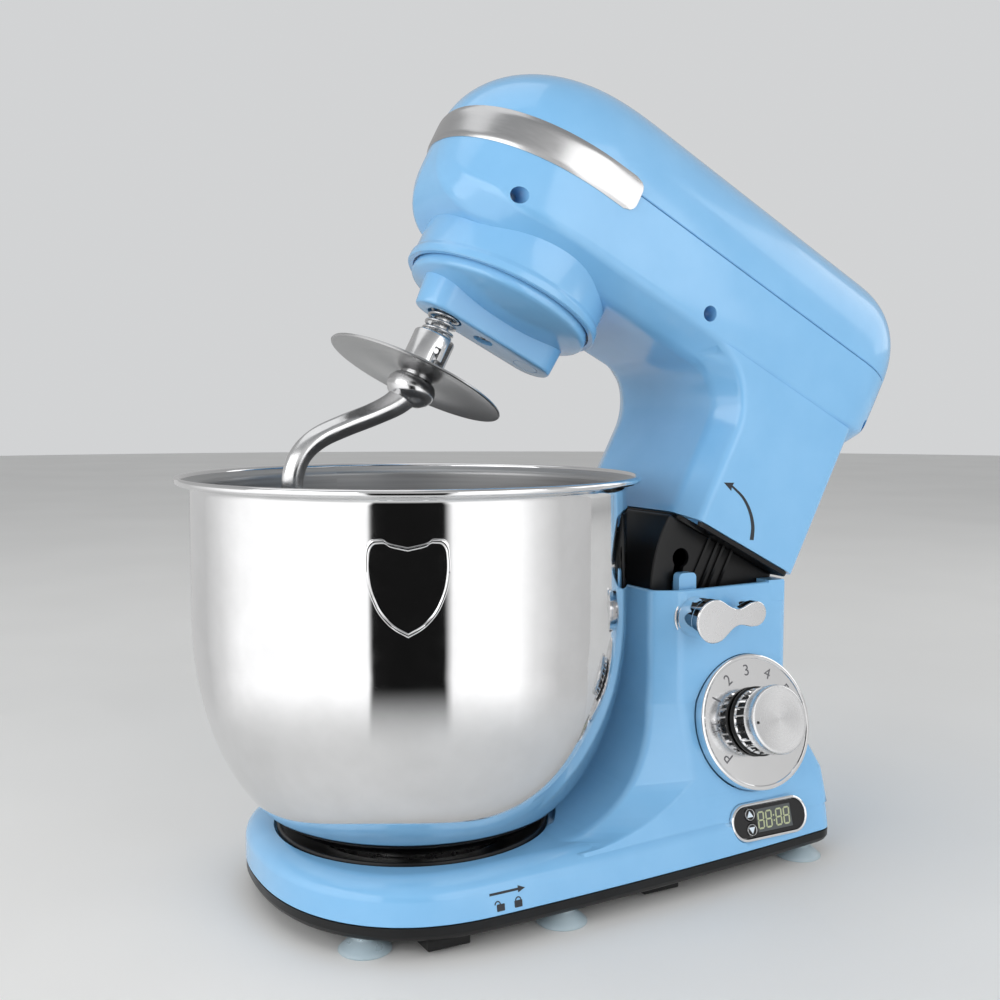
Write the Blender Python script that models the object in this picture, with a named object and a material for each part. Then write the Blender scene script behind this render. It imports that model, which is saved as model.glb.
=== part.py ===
"""Tilt-head stand mixer, as separate named pieces.

Units are metres, +Z is up, the nose points along -Y and the speed knob is on the +X side.
Every piece is modelled with the head closed and the bowl's axis at x = y = 0, and the empties
then place it: the head is raised by TILT about the hinge. A z value below is a height above
the ground in the closed pose.
"""
import math

import bmesh
import bpy
from mathutils import Matrix, Vector

# ---- driving dimensions -------------------------------------------------------------------
BOWL_AXIS_Y = -0.0915           # where the bowl's axis stands, so the origin is under the middle
GAP = 0.0003                    # clearance between pieces that touch
WALL = 0.003                    # moulded wall thickness

TILT = math.radians(27.4)       # how far the head is raised
HINGE_Y, HINGE_Z = 0.1995, 0.1525
PIN_R, KNUCKLE_R = 0.0022, 0.0042

RIM_Z = 0.216                   # centre of the bowl's rolled rim
RIM_R, RIM_TUBE = 0.1175, 0.0025
BOWL_R, BOWL_FLOOR_Z, BOWL_SHEET = 0.111, 0.0385, 0.0012
FLOOR_R, FOOT_R, FOOT_Z = 0.048, 0.0475, 0.0243

PLATE_Z, SPLIT_Z, DECK_Z = 0.008, 0.016, 0.036
COLUMN_TOP = 0.1555
COLUMN_REAR_Y, REAR_SPREAD = 0.2080, 0.0180
SLOPE = 0.298                   # how fast the side walls spread below the shoulder
SHOULDER_Z = 0.095

FOOTPRINT_HALF, FOOTPRINT_FRONT = 0.094, 0.085
FOOTPRINT_CORNER = 0.012
BOWL_KNEE_Z = 0.146             # the bowl's wall is upright above this height
SOCKET_R = 0.0667

NOSE_Y, TAIL_Y = -0.072, 0.233
NOSE_STRAIGHT_Y, TAIL_STRAIGHT_Y = 0.024, 0.190
HEAD_HALF, HEAD_SPLIT = 0.062, 0.291
CROWN, BELLY = 0.059, 0.051     # height of the head above and below its parting line
CROWN_POWER, BELLY_POWER = 2.2, 6.5
NECK_FRONT, NECK_REAR, NECK_HALF, NECK_FOOT = 0.122, 0.2050, 0.060, 0.1615

AXIS_Y = -0.0025                # planetary axis
LIP_R, CARRIER_R, LIP_Z = 0.0545, 0.0504, 0.223
TOOL_OFFSET = 0.0255
BAR_Z = 0.2005
HUB_TOP, DISC_Z, DISC_R = 0.189, 0.1652, 0.048

PRESSURE = 23                   # pressure angle of all the teeth, in degrees
RING_TEETH, PLANET_TEETH = 30, 12
RING_MODULE = 2 * TOOL_OFFSET / (RING_TEETH - PLANET_TEETH)
MAIN_TEETH, SECOND_PINION, SECOND_TEETH = 42, 12, 36
FIRST_PINION, FIRST_TEETH, MOTOR_PINION = 10, 36, 9
TRAIN_MODULE = 0.0022
SECOND_Y = AXIS_Y + TRAIN_MODULE * (MAIN_TEETH + SECOND_PINION) / 2
FIRST_Y = SECOND_Y + TRAIN_MODULE * (SECOND_TEETH + FIRST_PINION) / 2
MOTOR_Y = FIRST_Y + TRAIN_MODULE * (FIRST_TEETH + MOTOR_PINION) / 2

LEVER_Y, LEVER_Z = 0.1375, 0.141
LATCH_R, LATCH_FLAT = 0.005, 0.0029
LEVER_RISE = math.radians(4)
SKIRT_R, SKIRT_HALF, SKIRT_ANGLE = 0.080, 0.047, math.radians(46)

DIAL = Vector((0.0728, 0.1727, 0.0820))
DIAL_R, KNOB_R, KNOB_RISE = 0.0368, 0.0184, 0.0192
WALL_LEAN = math.radians(16.6)  # lean of the wall that carries the dial and the timer
TIMER = Vector((0.0815, 0.1745, 0.0302))
TIMER_HALF, TIMER_R = 0.0160, 0.0101
BUTTON_X, BUTTON_V, BUTTON_R = -0.0130, 0.0043, 0.0027
SCREEN_NEAR, SCREEN_FAR, SCREEN_HALF = -0.0075, 0.0150, 0.0052

TRIM_END = 0.0160               # how far back the bright band reaches
TRIM_LOW, TRIM_HIGH = 0.2795, 0.2980

# The hook's rod in its own plane, as (y, z) from the hub down to the tip.
HOOK_PATH = [(0.000, 0.158), (-0.004, 0.148), (-0.012, 0.1375), (-0.024, 0.1245), (-0.033, 0.1135),
             (-0.0375, 0.1030), (-0.0375, 0.0930), (-0.0335, 0.0830), (-0.0250, 0.0730),
             (-0.0130, 0.0645), (0.0010, 0.0595), (0.0140, 0.0585), (0.0240, 0.0625)]

MATERIALS = {
    "blue": ((0.24, 0.53, 0.80), 0.25, 0.0),
    "black": ((0.012, 0.012, 0.013), 0.35, 0.0),
    "steel": ((0.72, 0.72, 0.72), 0.25, 1.0),
    "chrome": ((0.85, 0.85, 0.86), 0.06, 1.0),
    "rubber": ((0.50, 0.60, 0.66), 0.5, 0.0),
    "nylon": ((0.75, 0.74, 0.68), 0.5, 0.0),
    "copper": ((0.60, 0.28, 0.12), 0.35, 1.0),
    "green": ((0.02, 0.16, 0.07), 0.5, 0.0),
    "screen": ((0.20, 0.22, 0.22), 0.1, 0.0),
}


# ---- mesh helpers -------------------------------------------------------------------------
def clear_scene():
    for obj in list(bpy.data.objects):
        bpy.data.objects.remove(obj, do_unlink=True)


def material(name, kind):
    colour, roughness, metallic = MATERIALS[kind]
    made = bpy.data.materials.new(name)
    made.use_nodes = True
    shader = made.node_tree.nodes["Principled BSDF"]
    shader.inputs["Base Color"].default_value = (*colour, 1.0)
    shader.inputs["Roughness"].default_value = roughness
    shader.inputs["Metallic"].default_value = metallic
    return made


def solid(name, verts, faces):
    """An object from vertices and faces, with its normals turned outwards."""
    bm = bmesh.new()
    made = [bm.verts.new(v) for v in verts]
    for face in faces:
        bm.faces.new([made[i] for i in face])
    bmesh.ops.recalc_face_normals(bm, faces=bm.faces)
    mesh = bpy.data.meshes.new(name)
    bm.to_mesh(mesh)
    bm.free()
    mesh.shade_smooth()
    mesh.set_sharp_from_angle(angle=math.radians(35))
    obj = bpy.data.objects.new(name, mesh)
    bpy.context.scene.collection.objects.link(obj)
    return obj


def loft(name, rings, closed=False):
    """Skin rings of points in order. A ring of one point is a tip, and open ends are capped."""
    verts, starts = [], []
    for ring in rings:
        starts.append(len(verts))
        verts.extend(ring)
    faces = []
    pairs = list(zip(range(len(rings)), range(1, len(rings))))
    if closed:
        pairs.append((len(rings) - 1, 0))
    for a, b in pairs:
        n = max(len(rings[a]), len(rings[b]))
        for i in range(n):
            j = (i + 1) % n
            face = [starts[a] + (i if len(rings[a]) > 1 else 0)]
            if len(rings[a]) > 1:
                face.append(starts[a] + j)
            face.append(starts[b] + (j if len(rings[b]) > 1 else 0))
            if len(rings[b]) > 1:
                face.append(starts[b] + i)
            faces.append(face)
    if not closed:
        for k in (0, len(rings) - 1):
            if len(rings[k]) > 1:
                faces.append([starts[k] + i for i in range(len(rings[k]))])
    return solid(name, verts, faces)


def turned(name, profile, segments=28, centre=(0.0, 0.0)):
    """A turned solid about Z from a profile of (radius, z). It closes on itself, or with flat
    ends where it starts and stops on the axis."""
    rings = []
    for radius, z in profile:
        if radius > 0.0:
            rings.append([(centre[0] + radius * math.cos(2 * math.pi * i / segments),
                           centre[1] + radius * math.sin(2 * math.pi * i / segments), z)
                          for i in range(segments)])
    return loft(name, rings, closed=profile[0][0] > 0.0)


def rod(name, radius, low, high, segments=16, centre=(0.0, 0.0)):
    return turned(name, [(0.0, low), (radius, low), (radius, high), (0.0, high)], segments, centre)


def tube(name, inner, outer, low, high, segments=28, centre=(0.0, 0.0)):
    profile = [(inner, low), (outer, low), (outer, high), (inner, high)]
    return turned(name, profile, segments, centre)


def prism(name, outline, low, high, axis="Z"):
    """Extrude an outline: (x, y) along Z, (y, z) along X or (x, z) along Y."""
    place = {"Z": lambda p, h: (p[0], p[1], h),
             "X": lambda p, h: (h, p[0], p[1]),
             "Y": lambda p, h: (p[0], h, p[1])}[axis]
    return loft(name, [[place(p, low) for p in outline], [place(p, high) for p in outline]])


def box(name, low, high):
    outline = [(low[0], low[1]), (high[0], low[1]), (high[0], high[1]), (low[0], high[1])]
    return prism(name, outline, low[2], high[2])


def arc(centre, radius, start, end, steps):
    """Points on an arc, angles in degrees."""
    return [(centre[0] + radius * math.cos(math.radians(start + (end - start) * i / steps)),
             centre[1] + radius * math.sin(math.radians(start + (end - start) * i / steps)))
            for i in range(steps + 1)]


def circle(centre, radius, count=12):
    return arc(centre, radius, 0, 360 - 360 / count, count - 1)


def stadium(half, radius, steps=5):
    """A slot outline along the first axis."""
    return arc((half, 0.0), radius, -90, 90, steps) + arc((-half, 0.0), radius, 90, 270, steps)


def turn(obj, matrix):
    obj.data.transform(matrix)
    if matrix.determinant() < 0:
        obj.data.flip_normals()
    return obj


def boolean(obj, others, operation):
    """Cut or join exactly, keep the result as the object's own mesh and remove the tools."""
    for other in others:
        modifier = obj.modifiers.new("cut", "BOOLEAN")
        modifier.operation = operation
        modifier.solver = "EXACT"
        modifier.object = other
    graph = bpy.context.evaluated_depsgraph_get()
    graph.update()
    mesh = bpy.data.meshes.new_from_object(obj.evaluated_get(graph))
    obj.modifiers.clear()
    obj.data = mesh
    for other in others:
        bpy.data.objects.remove(other, do_unlink=True)
    return obj


def cut(obj, *tools):
    return boolean(obj, tools, "DIFFERENCE")


def join(obj, *tools):
    return boolean(obj, tools, "UNION")


def finish(obj, parent, kind, offset=(0.0, 0.0, 0.0)):
    obj.data.materials.clear()
    obj.data.materials.append(material(obj.name, kind))
    obj.parent = parent
    obj.location = offset
    return obj


def empty(name, parent, location, tilt=0.0):
    made = bpy.data.objects.new(name, None)
    bpy.context.scene.collection.objects.link(made)
    made.parent = parent
    made.location = location
    made.rotation_euler = (tilt, 0.0, 0.0)
    return made


def quarter(t, power):
    """Height of a superellipse quadrant at t, which runs from 0 at the middle to 1 at the end."""
    return max(0.0, 1.0 - min(1.0, max(0.0, t)) ** power) ** (1.0 / power)


# ---- base ---------------------------------------------------------------------------------
def foot_half(y):
    """Half width of the base's footprint at y."""
    if y < 0:
        return FOOTPRINT_HALF * quarter(-y / FOOTPRINT_FRONT, 2.3)
    return FOOTPRINT_HALF - 0.02 * y - 0.22 * y * y


def mirrored(half):
    """A closed outline from its +X half, listed from the front to the rear."""
    return half + [(-x, y) for x, y in reversed(half) if x > 1e-6]


def footprint(inset, lean=0.0):
    """The base's outline, moved in by inset, and by lean more at its sides."""
    front = [-FOOTPRINT_FRONT * math.cos(math.radians(a)) for a in range(0, 91, 15)]
    rear = COLUMN_REAR_Y + REAR_SPREAD
    half = []
    for y in front:
        k = (FOOTPRINT_FRONT - inset) / FOOTPRINT_FRONT
        moved = inset + lean * (1 + y / FOOTPRINT_FRONT)
        side = foot_half(y) - moved * (foot_half(y) / FOOTPRINT_HALF)
        half.append((max(0.0, side), y * k))
    for y in (0.05, 0.10, 0.15):
        half.append((foot_half(y) - inset - lean, y))
    corner = FOOTPRINT_CORNER
    side = foot_half(rear - corner) - inset - lean
    half += arc((side - corner, rear - inset - corner), corner, 0, 90, 3)
    half.append((0.0, rear - inset))
    return mirrored(half)


def slab(name, inset, low, top):
    """The low part of the base: upright at the foot, rounded over at the deck."""
    levels = [(low, 0.0), (top - 0.0090, 0.0), (top - 0.0050, 0.0016),
              (top - 0.0022, 0.0048), (top, 0.0120)]
    rings = []
    for z, round_in in levels:
        lean = SLOPE * max(0.0, z - SPLIT_Z) * 0.6
        rings.append([(x, y, z) for x, y in footprint(inset + round_in, lean)])
    return loft(name, rings)


def column_ring(z, inset):
    """Horizontal section of the column and of the shoulders that run into it."""
    side = 0.060 + SLOPE * max(0.0, SHOULDER_Z - z)
    sweep = min(1.0, max(0.0, (0.106 - z) / 0.070))
    front = 0.045 + 0.069 * math.sqrt(1 - sweep ** 2)
    low = min(1.0, max(0.0, (z - 0.034) / 0.022))
    corner_y = 0.050 + 0.079 * math.sqrt(low)
    rear = COLUMN_REAR_Y + REAR_SPREAD * min(1.0, max(0.0, (0.085 - z) / 0.037))
    corner_y = max(corner_y, front + 0.006)

    def wall(y):
        return side - 0.07 * (y - 0.172)

    inner_x = min(0.054 + 0.018 * sweep, wall(front) - 0.010)
    half = [(0.0, front + inset), (inner_x - 0.004, front + inset),
            (inner_x + 0.002, front + inset + 0.002),
            (wall(corner_y) - inset - 0.0025, corner_y + inset * 0.4 - 0.003),
            (wall(corner_y) - inset, corner_y + inset * 0.4 + 0.002)]
    corner = 0.008
    side_rear = wall(rear - corner) - inset
    half += arc((side_rear - corner, rear - inset - corner), corner, 0, 90, 3)
    half.append((0.0, rear - inset))
    return [(x, y, z) for x, y in mirrored(half)]


def column(name, inset, low, high):
    levels = [low, 0.038, 0.043, 0.050, 0.060, 0.075, 0.088, 0.103, high]
    return loft(name, [column_ring(z, inset) for z in levels])


def base_housing():
    body = join(slab("base_housing", 0.0, SPLIT_Z, DECK_Z), column("outer", 0.0, 0.030, COLUMN_TOP))
    body = cut(body, slab("hollow", WALL, SPLIT_Z - 0.001, DECK_Z - WALL),
               column("shaft", WALL, 0.0285, COLUMN_TOP + 0.001))
    body = join(body, tube("seat", 0.0600, 0.0775, 0.027, DECK_Z - 0.001, 32))
    well = [(0.0, 0.010), (SOCKET_R, 0.010), (SOCKET_R, 0.0330), (0.0720, 0.0330),
            (0.0720, 0.050), (0.0, 0.050)]
    body = cut(body, turn(turned("well", well, 32), Matrix.Rotation(math.radians(2.5), 4, "Z")))
    pockets = [box("pocket", (x - 0.0024, 0.2010, 0.1465), (x + 0.0014, 0.2066, 0.16))
               for x in (SKIRT_HALF - 0.0008, -SKIRT_HALF + 0.0018)]
    body = cut(body, *pockets)
    body = join(body, *hinge_ears(), *latch_bosses(), *guide_tabs())
    bore = prism("bore", circle((HINGE_Y, HINGE_Z), PIN_R + GAP), -0.0575, 0.0575, "X")
    shaft = prism("latch_bore", circle((LEVER_Y, LEVER_Z), LATCH_R + GAP), -0.0575, 0.080, "X")
    dial_hole = dial_placed(rod("dial_hole", DIAL_R + GAP, -0.0105, 0.040, 32))
    stem_hole = dial_placed(rod("stem_hole", 0.0056, -0.030, 0.0, 12))
    steps = ((-0.0120, 0.0019), (-0.0025, 0.0019), (-0.0025, -GAP), (0.0200, -GAP))
    rings = [[(x, y, z) for x, y in stadium(TIMER_HALF, TIMER_R - less)] for z, less in steps]
    window = timer_placed(loft("window", rings))
    gland = rod_y("gland_hole", 0.0072, COLUMN_REAR_Y, COLUMN_REAR_Y + 0.03, (0.045, 0.034))
    return cut(body, bore, shaft, dial_hole, stem_hole, window, gland)


def rod_y(name, radius, low, high, centre, segments=16):
    return prism(name, circle(centre, radius, segments), low, high, "Y")


def hinge_ears():
    low, high = (0.048, 0.1915, 0.1445), (0.0585, 0.2025, 0.1563)
    return [box("ear", low, high), box("ear", (-high[0], low[1], low[2]), (-low[0], high[1], high[2]))]


def latch_bosses():
    ring = circle((LEVER_Y, LEVER_Z), 0.0085)
    return [prism("boss", ring, 0.0505, 0.0610, "X"), prism("boss", ring, -0.0610, -0.0505, "X")]


def guide_tabs():
    """Two tabs that stand up inside the column and steer the neck as it comes down."""
    made = []
    for side in (1, -1):
        outline = [(0.1320, 0.130), (0.1435, 0.130), (0.1435, 0.1610), (0.1415, 0.1635),
                   (0.1340, 0.1635), (0.1320, 0.1610)]
        ends = sorted((side * 0.0500, side * 0.0555))
        made.append(prism("tab", outline, *ends, "X"))
        ends = sorted((side * 0.0535, side * 0.0605))
        low, high = (ends[0], 0.1335, 0.132), (ends[1], 0.1425, 0.150)
        made.append(box("tab_root", low, high))
    return made


def base_plate():
    """The black tray under the base, with four blocks between the suction feet."""
    tray = loft("base_plate", [[(x, y, PLATE_Z) for x, y in footprint(0.003)],
                               [(x, y, PLATE_Z + 0.002) for x, y in footprint(0.0008)],
                               [(x, y, SPLIT_Z - GAP) for x, y in footprint(0.0)]])
    hollow = loft("hollow", [[(x, y, PLATE_Z + 0.003) for x, y in footprint(0.0032)],
                             [(x, y, SPLIT_Z + 0.01) for x, y in footprint(0.0032)]])
    tray = cut(tray, hollow)
    blocks = []
    for side in (1, -1):
        for x, y in ((0.079, -0.020), (0.072, 0.105)):
            low = (side * x - 0.008, y - 0.011, 0.0025)
            high = (side * x + 0.008, y + 0.011, PLATE_Z + 0.002)
            blocks.append(box("block", low, high))
    tray = join(tray, *blocks)
    holes = [rod("foot_hole", 0.0049, 0.0, 0.03, 8, spot) for spot in foot_spots()]
    holes += [rod("screw_hole", 0.0020, 0.0, 0.03, 8, spot) for spot in screw_spots()]
    return cut(tray, *holes)


def foot_spots():
    return [(side * x, y) for x, y in ((0.064, -0.053), (0.081, 0.044), (0.069, 0.207))
            for side in (1, -1)]


def screw_spots():
    return [(side * x, y) for x, y in ((0.036, -0.062), (0.050, 0.196)) for side in (1, -1)]


def suction_foot(name):
    """A soft cup with a stem that snaps through the tray."""
    profile = [(0.0, 0.0032), (0.0060, 0.0032), (0.0104, 0.0), (0.0125, 0.0), (0.0126, 0.0006),
               (0.0060, 0.0062), (0.0060, PLATE_Z - GAP), (0.0044, PLATE_Z - GAP),
               (0.0044, 0.0115), (0.0058, 0.0118), (0.0040, 0.0145), (0.0, 0.0145)]
    return turned(name, profile, 9)


def base_screw(name):
    profile = [(0.0, 0.0062), (0.0032, 0.0062), (0.0032, PLATE_Z - GAP), (0.0016, PLATE_Z - GAP),
               (0.0016, 0.0200), (0.0, 0.0200)]
    return turned(name, profile, 8)


def bowl_lock_ring():
    """The black socket that the bowl twists into, with three tabs over the bowl's lugs."""
    profile = [(0.010, 0.0215), (0.0550, 0.0215), (0.0550, 0.0290), (0.0663, 0.0333),
               (0.0715, 0.0333), (0.0715, 0.0368), (0.0700, 0.0372), (0.0686, 0.0355),
               (0.0525, 0.0312), (0.0525, 0.0240), (0.010, 0.0240)]
    ring = turned("bowl_lock_ring", profile, 30)
    tabs = []
    for k in range(3):
        angle = 120 * k + 90
        outline = arc((0, 0), 0.0488, angle - 14, angle + 14, 3)
        outline += arc((0, 0), 0.0535, angle + 14, angle - 14, 3)
        tabs.append(prism("tab", outline, 0.0280, 0.0305))
    return join(ring, *tabs)


def base_parts(bench):
    finish(base_housing(), bench, "blue")
    finish(base_plate(), bench, "black")
    names = ["front", "middle", "rear"]
    for i, (x, y) in enumerate(foot_spots()):
        side = "right" if x > 0 else "left"
        foot = suction_foot(f"suction_foot_{names[i // 2]}_{side}")
        finish(foot, bench, "rubber", (x, y, 0.0))
    for i, (x, y) in enumerate(screw_spots()):
        finish(base_screw(f"base_screw_{i + 1}"), bench, "steel", (x, y, 0.0))
    finish(bowl_lock_ring(), bench, "black")
    pin = rod("hinge_pin", PIN_R, -0.0570, 0.0570, 12)
    turn(pin, Matrix.Rotation(math.radians(90), 4, "Y"))
    finish(pin, bench, "steel", (0.0, HINGE_Y, HINGE_Z))
    finish(cord_gland(), bench, "black")


def cord_gland():
    """A flanged bush in the rear wall, where the mains lead goes in."""
    y = COLUMN_REAR_Y + REAR_SPREAD
    profile = [(0.0038, -0.006), (0.0068, -0.006), (0.0068, GAP), (0.0095, GAP), (0.0095, 0.0020),
               (0.0062, 0.0060), (0.0038, 0.0060)]
    gland = turned("cord_gland", profile, 16)
    turn(gland, Matrix.Translation((0.045, y, 0.034)) @ Matrix.Rotation(math.radians(-90), 4, "X"))
    return gland


# ---- controls on the leaning side wall ----------------------------------------------------
def leaning(obj, centre):
    """Stand a piece modelled along Z on the leaning wall, with its own x pointing rearwards."""
    across = Vector((0.0, 1.0, 0.0))
    out = Vector((math.cos(WALL_LEAN), 0.0, math.sin(WALL_LEAN)))
    up = out.cross(across)
    frame = Matrix((across, up, out)).transposed().to_4x4()
    return turn(obj, Matrix.Translation(centre) @ frame)


def dial_placed(obj):
    return leaning(obj, DIAL)


def timer_placed(obj):
    return leaning(obj, TIMER)


def dial_plate():
    profile = [(0.0075, -0.0030), (0.0340, -0.0030), (0.0345, -0.0098), (DIAL_R - GAP, -0.0098),
               (DIAL_R, -0.0010), (DIAL_R - 0.0012, 0.0), (0.0345, 0.0), (0.0335, -0.0006),
               (0.0075, -0.0006)]
    return dial_placed(turned("dial_plate", profile, 32))


def speed_knob():
    """Metal-capped knob with a ribbed skirt."""
    ribs = 12
    rings = []
    steps = ((0.0004, 0.0180, 0.0010), (0.0110, 0.0176, 0.0010), (0.0113, KNOB_R, 0.0),
             (KNOB_RISE - 0.0012, KNOB_R, 0.0), (KNOB_RISE, KNOB_R - 0.0010, 0.0))
    for z, radius, depth in steps:
        ring = []
        for i in range(ribs * 2):
            r = radius - (depth if i % 2 else 0.0)
            angle = math.pi * i / ribs
            ring.append((r * math.cos(angle), r * math.sin(angle), z))
        rings.append(ring)
    knob = loft("speed_knob", rings)
    return cut(knob, rod("socket", 0.0033, -0.01, 0.0120, 16))


def knob_shaft():
    return rod("knob_shaft", 0.0030, -0.0250, 0.0115, 16)


def rotary_switch():
    """Speed switch behind the dial, with a threaded neck around the knob's shaft."""
    body = prism("rotary_switch", stadium(0.004, 0.012, 6), -0.0290, -0.0180)
    body = join(body, rod("neck", 0.0050, -0.0200, -0.0038, 20))
    return dial_placed(cut(body, rod("bore", 0.0033, -0.0400, 0.0, 16)))


def timer_bezel():
    outer = prism("timer_bezel", stadium(TIMER_HALF, TIMER_R), -0.0022, 0.0012)
    spigot = prism("spigot", stadium(TIMER_HALF, TIMER_R - 0.0022), -0.0080, 0.0)
    bezel = join(outer, spigot)
    bezel = cut(bezel, prism("hole", stadium(TIMER_HALF, TIMER_R - 0.0017), -0.0014, 0.01),
                prism("through", stadium(TIMER_HALF, TIMER_R - 0.0030), -0.02, 0.02))
    return timer_placed(bezel)


def timer_panel():
    panel = prism("timer_panel", stadium(TIMER_HALF, TIMER_R - 0.0020), -0.0011, 0.0016)
    holes = [rod("hole", BUTTON_R + GAP, -0.01, 0.01, 16, (BUTTON_X, v))
             for v in (BUTTON_V, -BUTTON_V)]
    window = box("window", (SCREEN_NEAR, -SCREEN_HALF, 0.0009), (SCREEN_FAR, SCREEN_HALF, 0.01))
    return timer_placed(cut(panel, *holes, window))


def timer_screen():
    screen = box("timer_screen", (SCREEN_NEAR + GAP, -SCREEN_HALF + GAP, 0.0009 + GAP),
                 (SCREEN_FAR - GAP, SCREEN_HALF - GAP, 0.0018))
    return timer_placed(screen)


def timer_button(name):
    cap = rod(name, BUTTON_R, 0.0004, 0.0028, 16)
    stem = rod("stem", 0.0012, -0.0070, 0.0010, 10)
    return join(cap, stem)


def controls(bench):
    finish(dial_plate(), bench, "chrome")
    finish(rotary_switch(), bench, "black")
    axis = empty("knob_axis", bench, DIAL)
    for piece, kind in ((speed_knob(), "steel"), (knob_shaft(), "steel")):
        finish(leaning(piece, (0.0, 0.0, 0.0)), axis, kind)
    finish(timer_bezel(), bench, "chrome")
    finish(timer_panel(), bench, "black")
    finish(timer_screen(), bench, "screen")
    for name, v in (("timer_up_button", BUTTON_V), ("timer_down_button", -BUTTON_V)):
        button = leaning(timer_button(name), (0.0, 0.0, 0.0))
        spot = TIMER + leaning_offset(BUTTON_X, v)
        finish(button, empty(name + "_axis", bench, spot), "steel")
    board = box("timer_board", (-0.016, -0.0075, -0.0180), (0.016, 0.0075, -0.0164))
    finish(timer_placed(board), bench, "green")
    board = box("control_board", (-0.030, 0.130, 0.030), (0.030, 0.190, 0.0316))
    lumps = [box("part", (-0.020, 0.150, 0.0310), (0.006, 0.180, 0.050)),
             rod("part", 0.008, 0.0310, 0.056, 16, (0.018, 0.165)),
             box("part", (-0.024, 0.134, 0.0310), (0.020, 0.142, 0.040))]
    finish(join(board, *lumps), bench, "green")


def leaning_offset(across, up):
    return Vector((-up * math.sin(WALL_LEAN), across, up * math.cos(WALL_LEAN)))


# ---- lever and latch ----------------------------------------------------------------------
def lock_lever():
    """Dog-bone grip on a round boss, along +Y from its pivot."""
    big, small, reach = 0.0100, 0.0064, 0.0272

    def half_height(s):
        if s < 0.005:
            return math.sqrt(max(0.0, big ** 2 - s ** 2))
        if s > reach - 0.002:
            return math.sqrt(max(0.0, small ** 2 - (s - reach) ** 2))
        t = (s - 0.005) / (reach - 0.007)
        ends = 0.0092 * (1 - t) + 0.0059 * t
        return ends - 0.0030 * math.sin(math.pi * t) ** 0.9

    steps = 12
    along = [-big + (big + reach + small) * 0.5 * (1 - math.cos(math.pi * i / steps))
             for i in range(steps + 1)]
    upper = [(s, half_height(s)) for s in along]
    lower = [(s, -h) for s, h in reversed(upper[1:-1])]
    grip = prism("lock_lever", upper + lower, 0.0740, 0.0800, "X")
    boss = prism("boss", circle((0, 0), 0.0096), 0.0640, 0.0755, "X")
    knob = prism("knob", circle((reach, 0), 0.0055), 0.0690, 0.0755, "X")
    rise = Matrix.Rotation(LEVER_RISE, 4, "X")
    lever = join(turn(grip, rise), boss, turn(knob, rise))
    return cut(lever, prism("socket", circle((0, 0), LATCH_R - 0.0007), 0.06, 0.0712, "X"))


def latch_shaft():
    """Round shaft with two flats where it crosses the skirt's slots."""
    reach = math.hypot(HINGE_Y - LEVER_Y, HINGE_Z - LEVER_Z)
    radial = ((HINGE_Y - LEVER_Y) / reach, (HINGE_Z - LEVER_Z) / reach)
    rings = []
    steps = ((-0.0565, LATCH_R, 1), (-0.0495, LATCH_R, 1), (-0.0492, LATCH_R, LATCH_FLAT),
             (0.0492, LATCH_R, LATCH_FLAT), (0.0495, LATCH_R, 1), (0.0632, LATCH_R, 1),
             (0.0635, LATCH_R - 0.0010, 1), (0.0705, LATCH_R - 0.0010, 1))
    for x, radius, limit in steps:
        ring = []
        for i in range(16):
            angle = math.pi * i / 8
            u = max(-limit, min(limit, radius * math.cos(angle)))
            v = radius * math.sin(angle)
            ring.append((x, u * radial[0] - v * radial[1], u * radial[1] + v * radial[0]))
        rings.append(ring)
    return loft("latch_shaft", rings)


def lever_parts(bench):
    axis = empty("lever_axis", bench, (0.0, LEVER_Y, LEVER_Z))
    finish(lock_lever(), axis, "chrome")
    finish(latch_shaft(), axis, "steel")


# ---- bowl ---------------------------------------------------------------------------------
def bowl_radius(z):
    """Outer radius of the bowl's wall at a height."""
    if z >= BOWL_KNEE_Z:
        return BOWL_R
    t = (BOWL_KNEE_Z - z) / (BOWL_KNEE_Z - BOWL_FLOOR_Z)
    return FLOOR_R + (BOWL_R - FLOOR_R) * quarter(t, 2.0)


def bowl():
    heights = [BOWL_FLOOR_Z + (BOWL_KNEE_Z - BOWL_FLOOR_Z) * (1 - math.cos(math.radians(a)))
               for a in (0, 12, 26, 42, 62, 90)]
    outer = [(0.0, BOWL_FLOOR_Z)] + [(bowl_radius(z), z) for z in heights]
    inner = [(0.0, BOWL_FLOOR_Z + BOWL_SHEET)]
    inner += [(bowl_radius(z) - BOWL_SHEET, max(z, BOWL_FLOOR_Z + BOWL_SHEET) + 0.0004)
              for z in heights]
    neck = RIM_Z - 0.012
    outer += [(BOWL_R, neck), (RIM_R - 0.0032, RIM_Z - 0.0060)]
    inner += [(BOWL_R - BOWL_SHEET, neck), (RIM_R - 0.0032, RIM_Z - 0.0042)]
    rim = arc((RIM_R, RIM_Z), RIM_TUBE, -75, 165, 4)
    profile = outer + rim + list(reversed(inner[1:])) + [inner[0]]
    return turned("bowl", profile, 30)


def bowl_foot():
    """Steel ring under the bowl, with three lugs that twist under the socket's tabs."""
    ring = tube("bowl_foot", 0.0440, FOOT_R, FOOT_Z, BOWL_FLOOR_Z - GAP, 32)
    lugs = []
    for k in range(3):
        angle = 120 * k + 90
        outline = arc((0, 0), 0.0460, angle - 14, angle + 14, 3)
        outline += arc((0, 0), 0.0513, angle + 14, angle - 14, 3)
        lugs.append(prism("lug", outline, 0.0248, 0.0275))
    return join(ring, *lugs)


def bowl_parts(bench):
    axis = empty("bowl_axis", bench, (0.0, 0.0, 0.0))
    finish(bowl(), axis, "steel")
    finish(bowl_foot(), axis, "steel")


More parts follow.
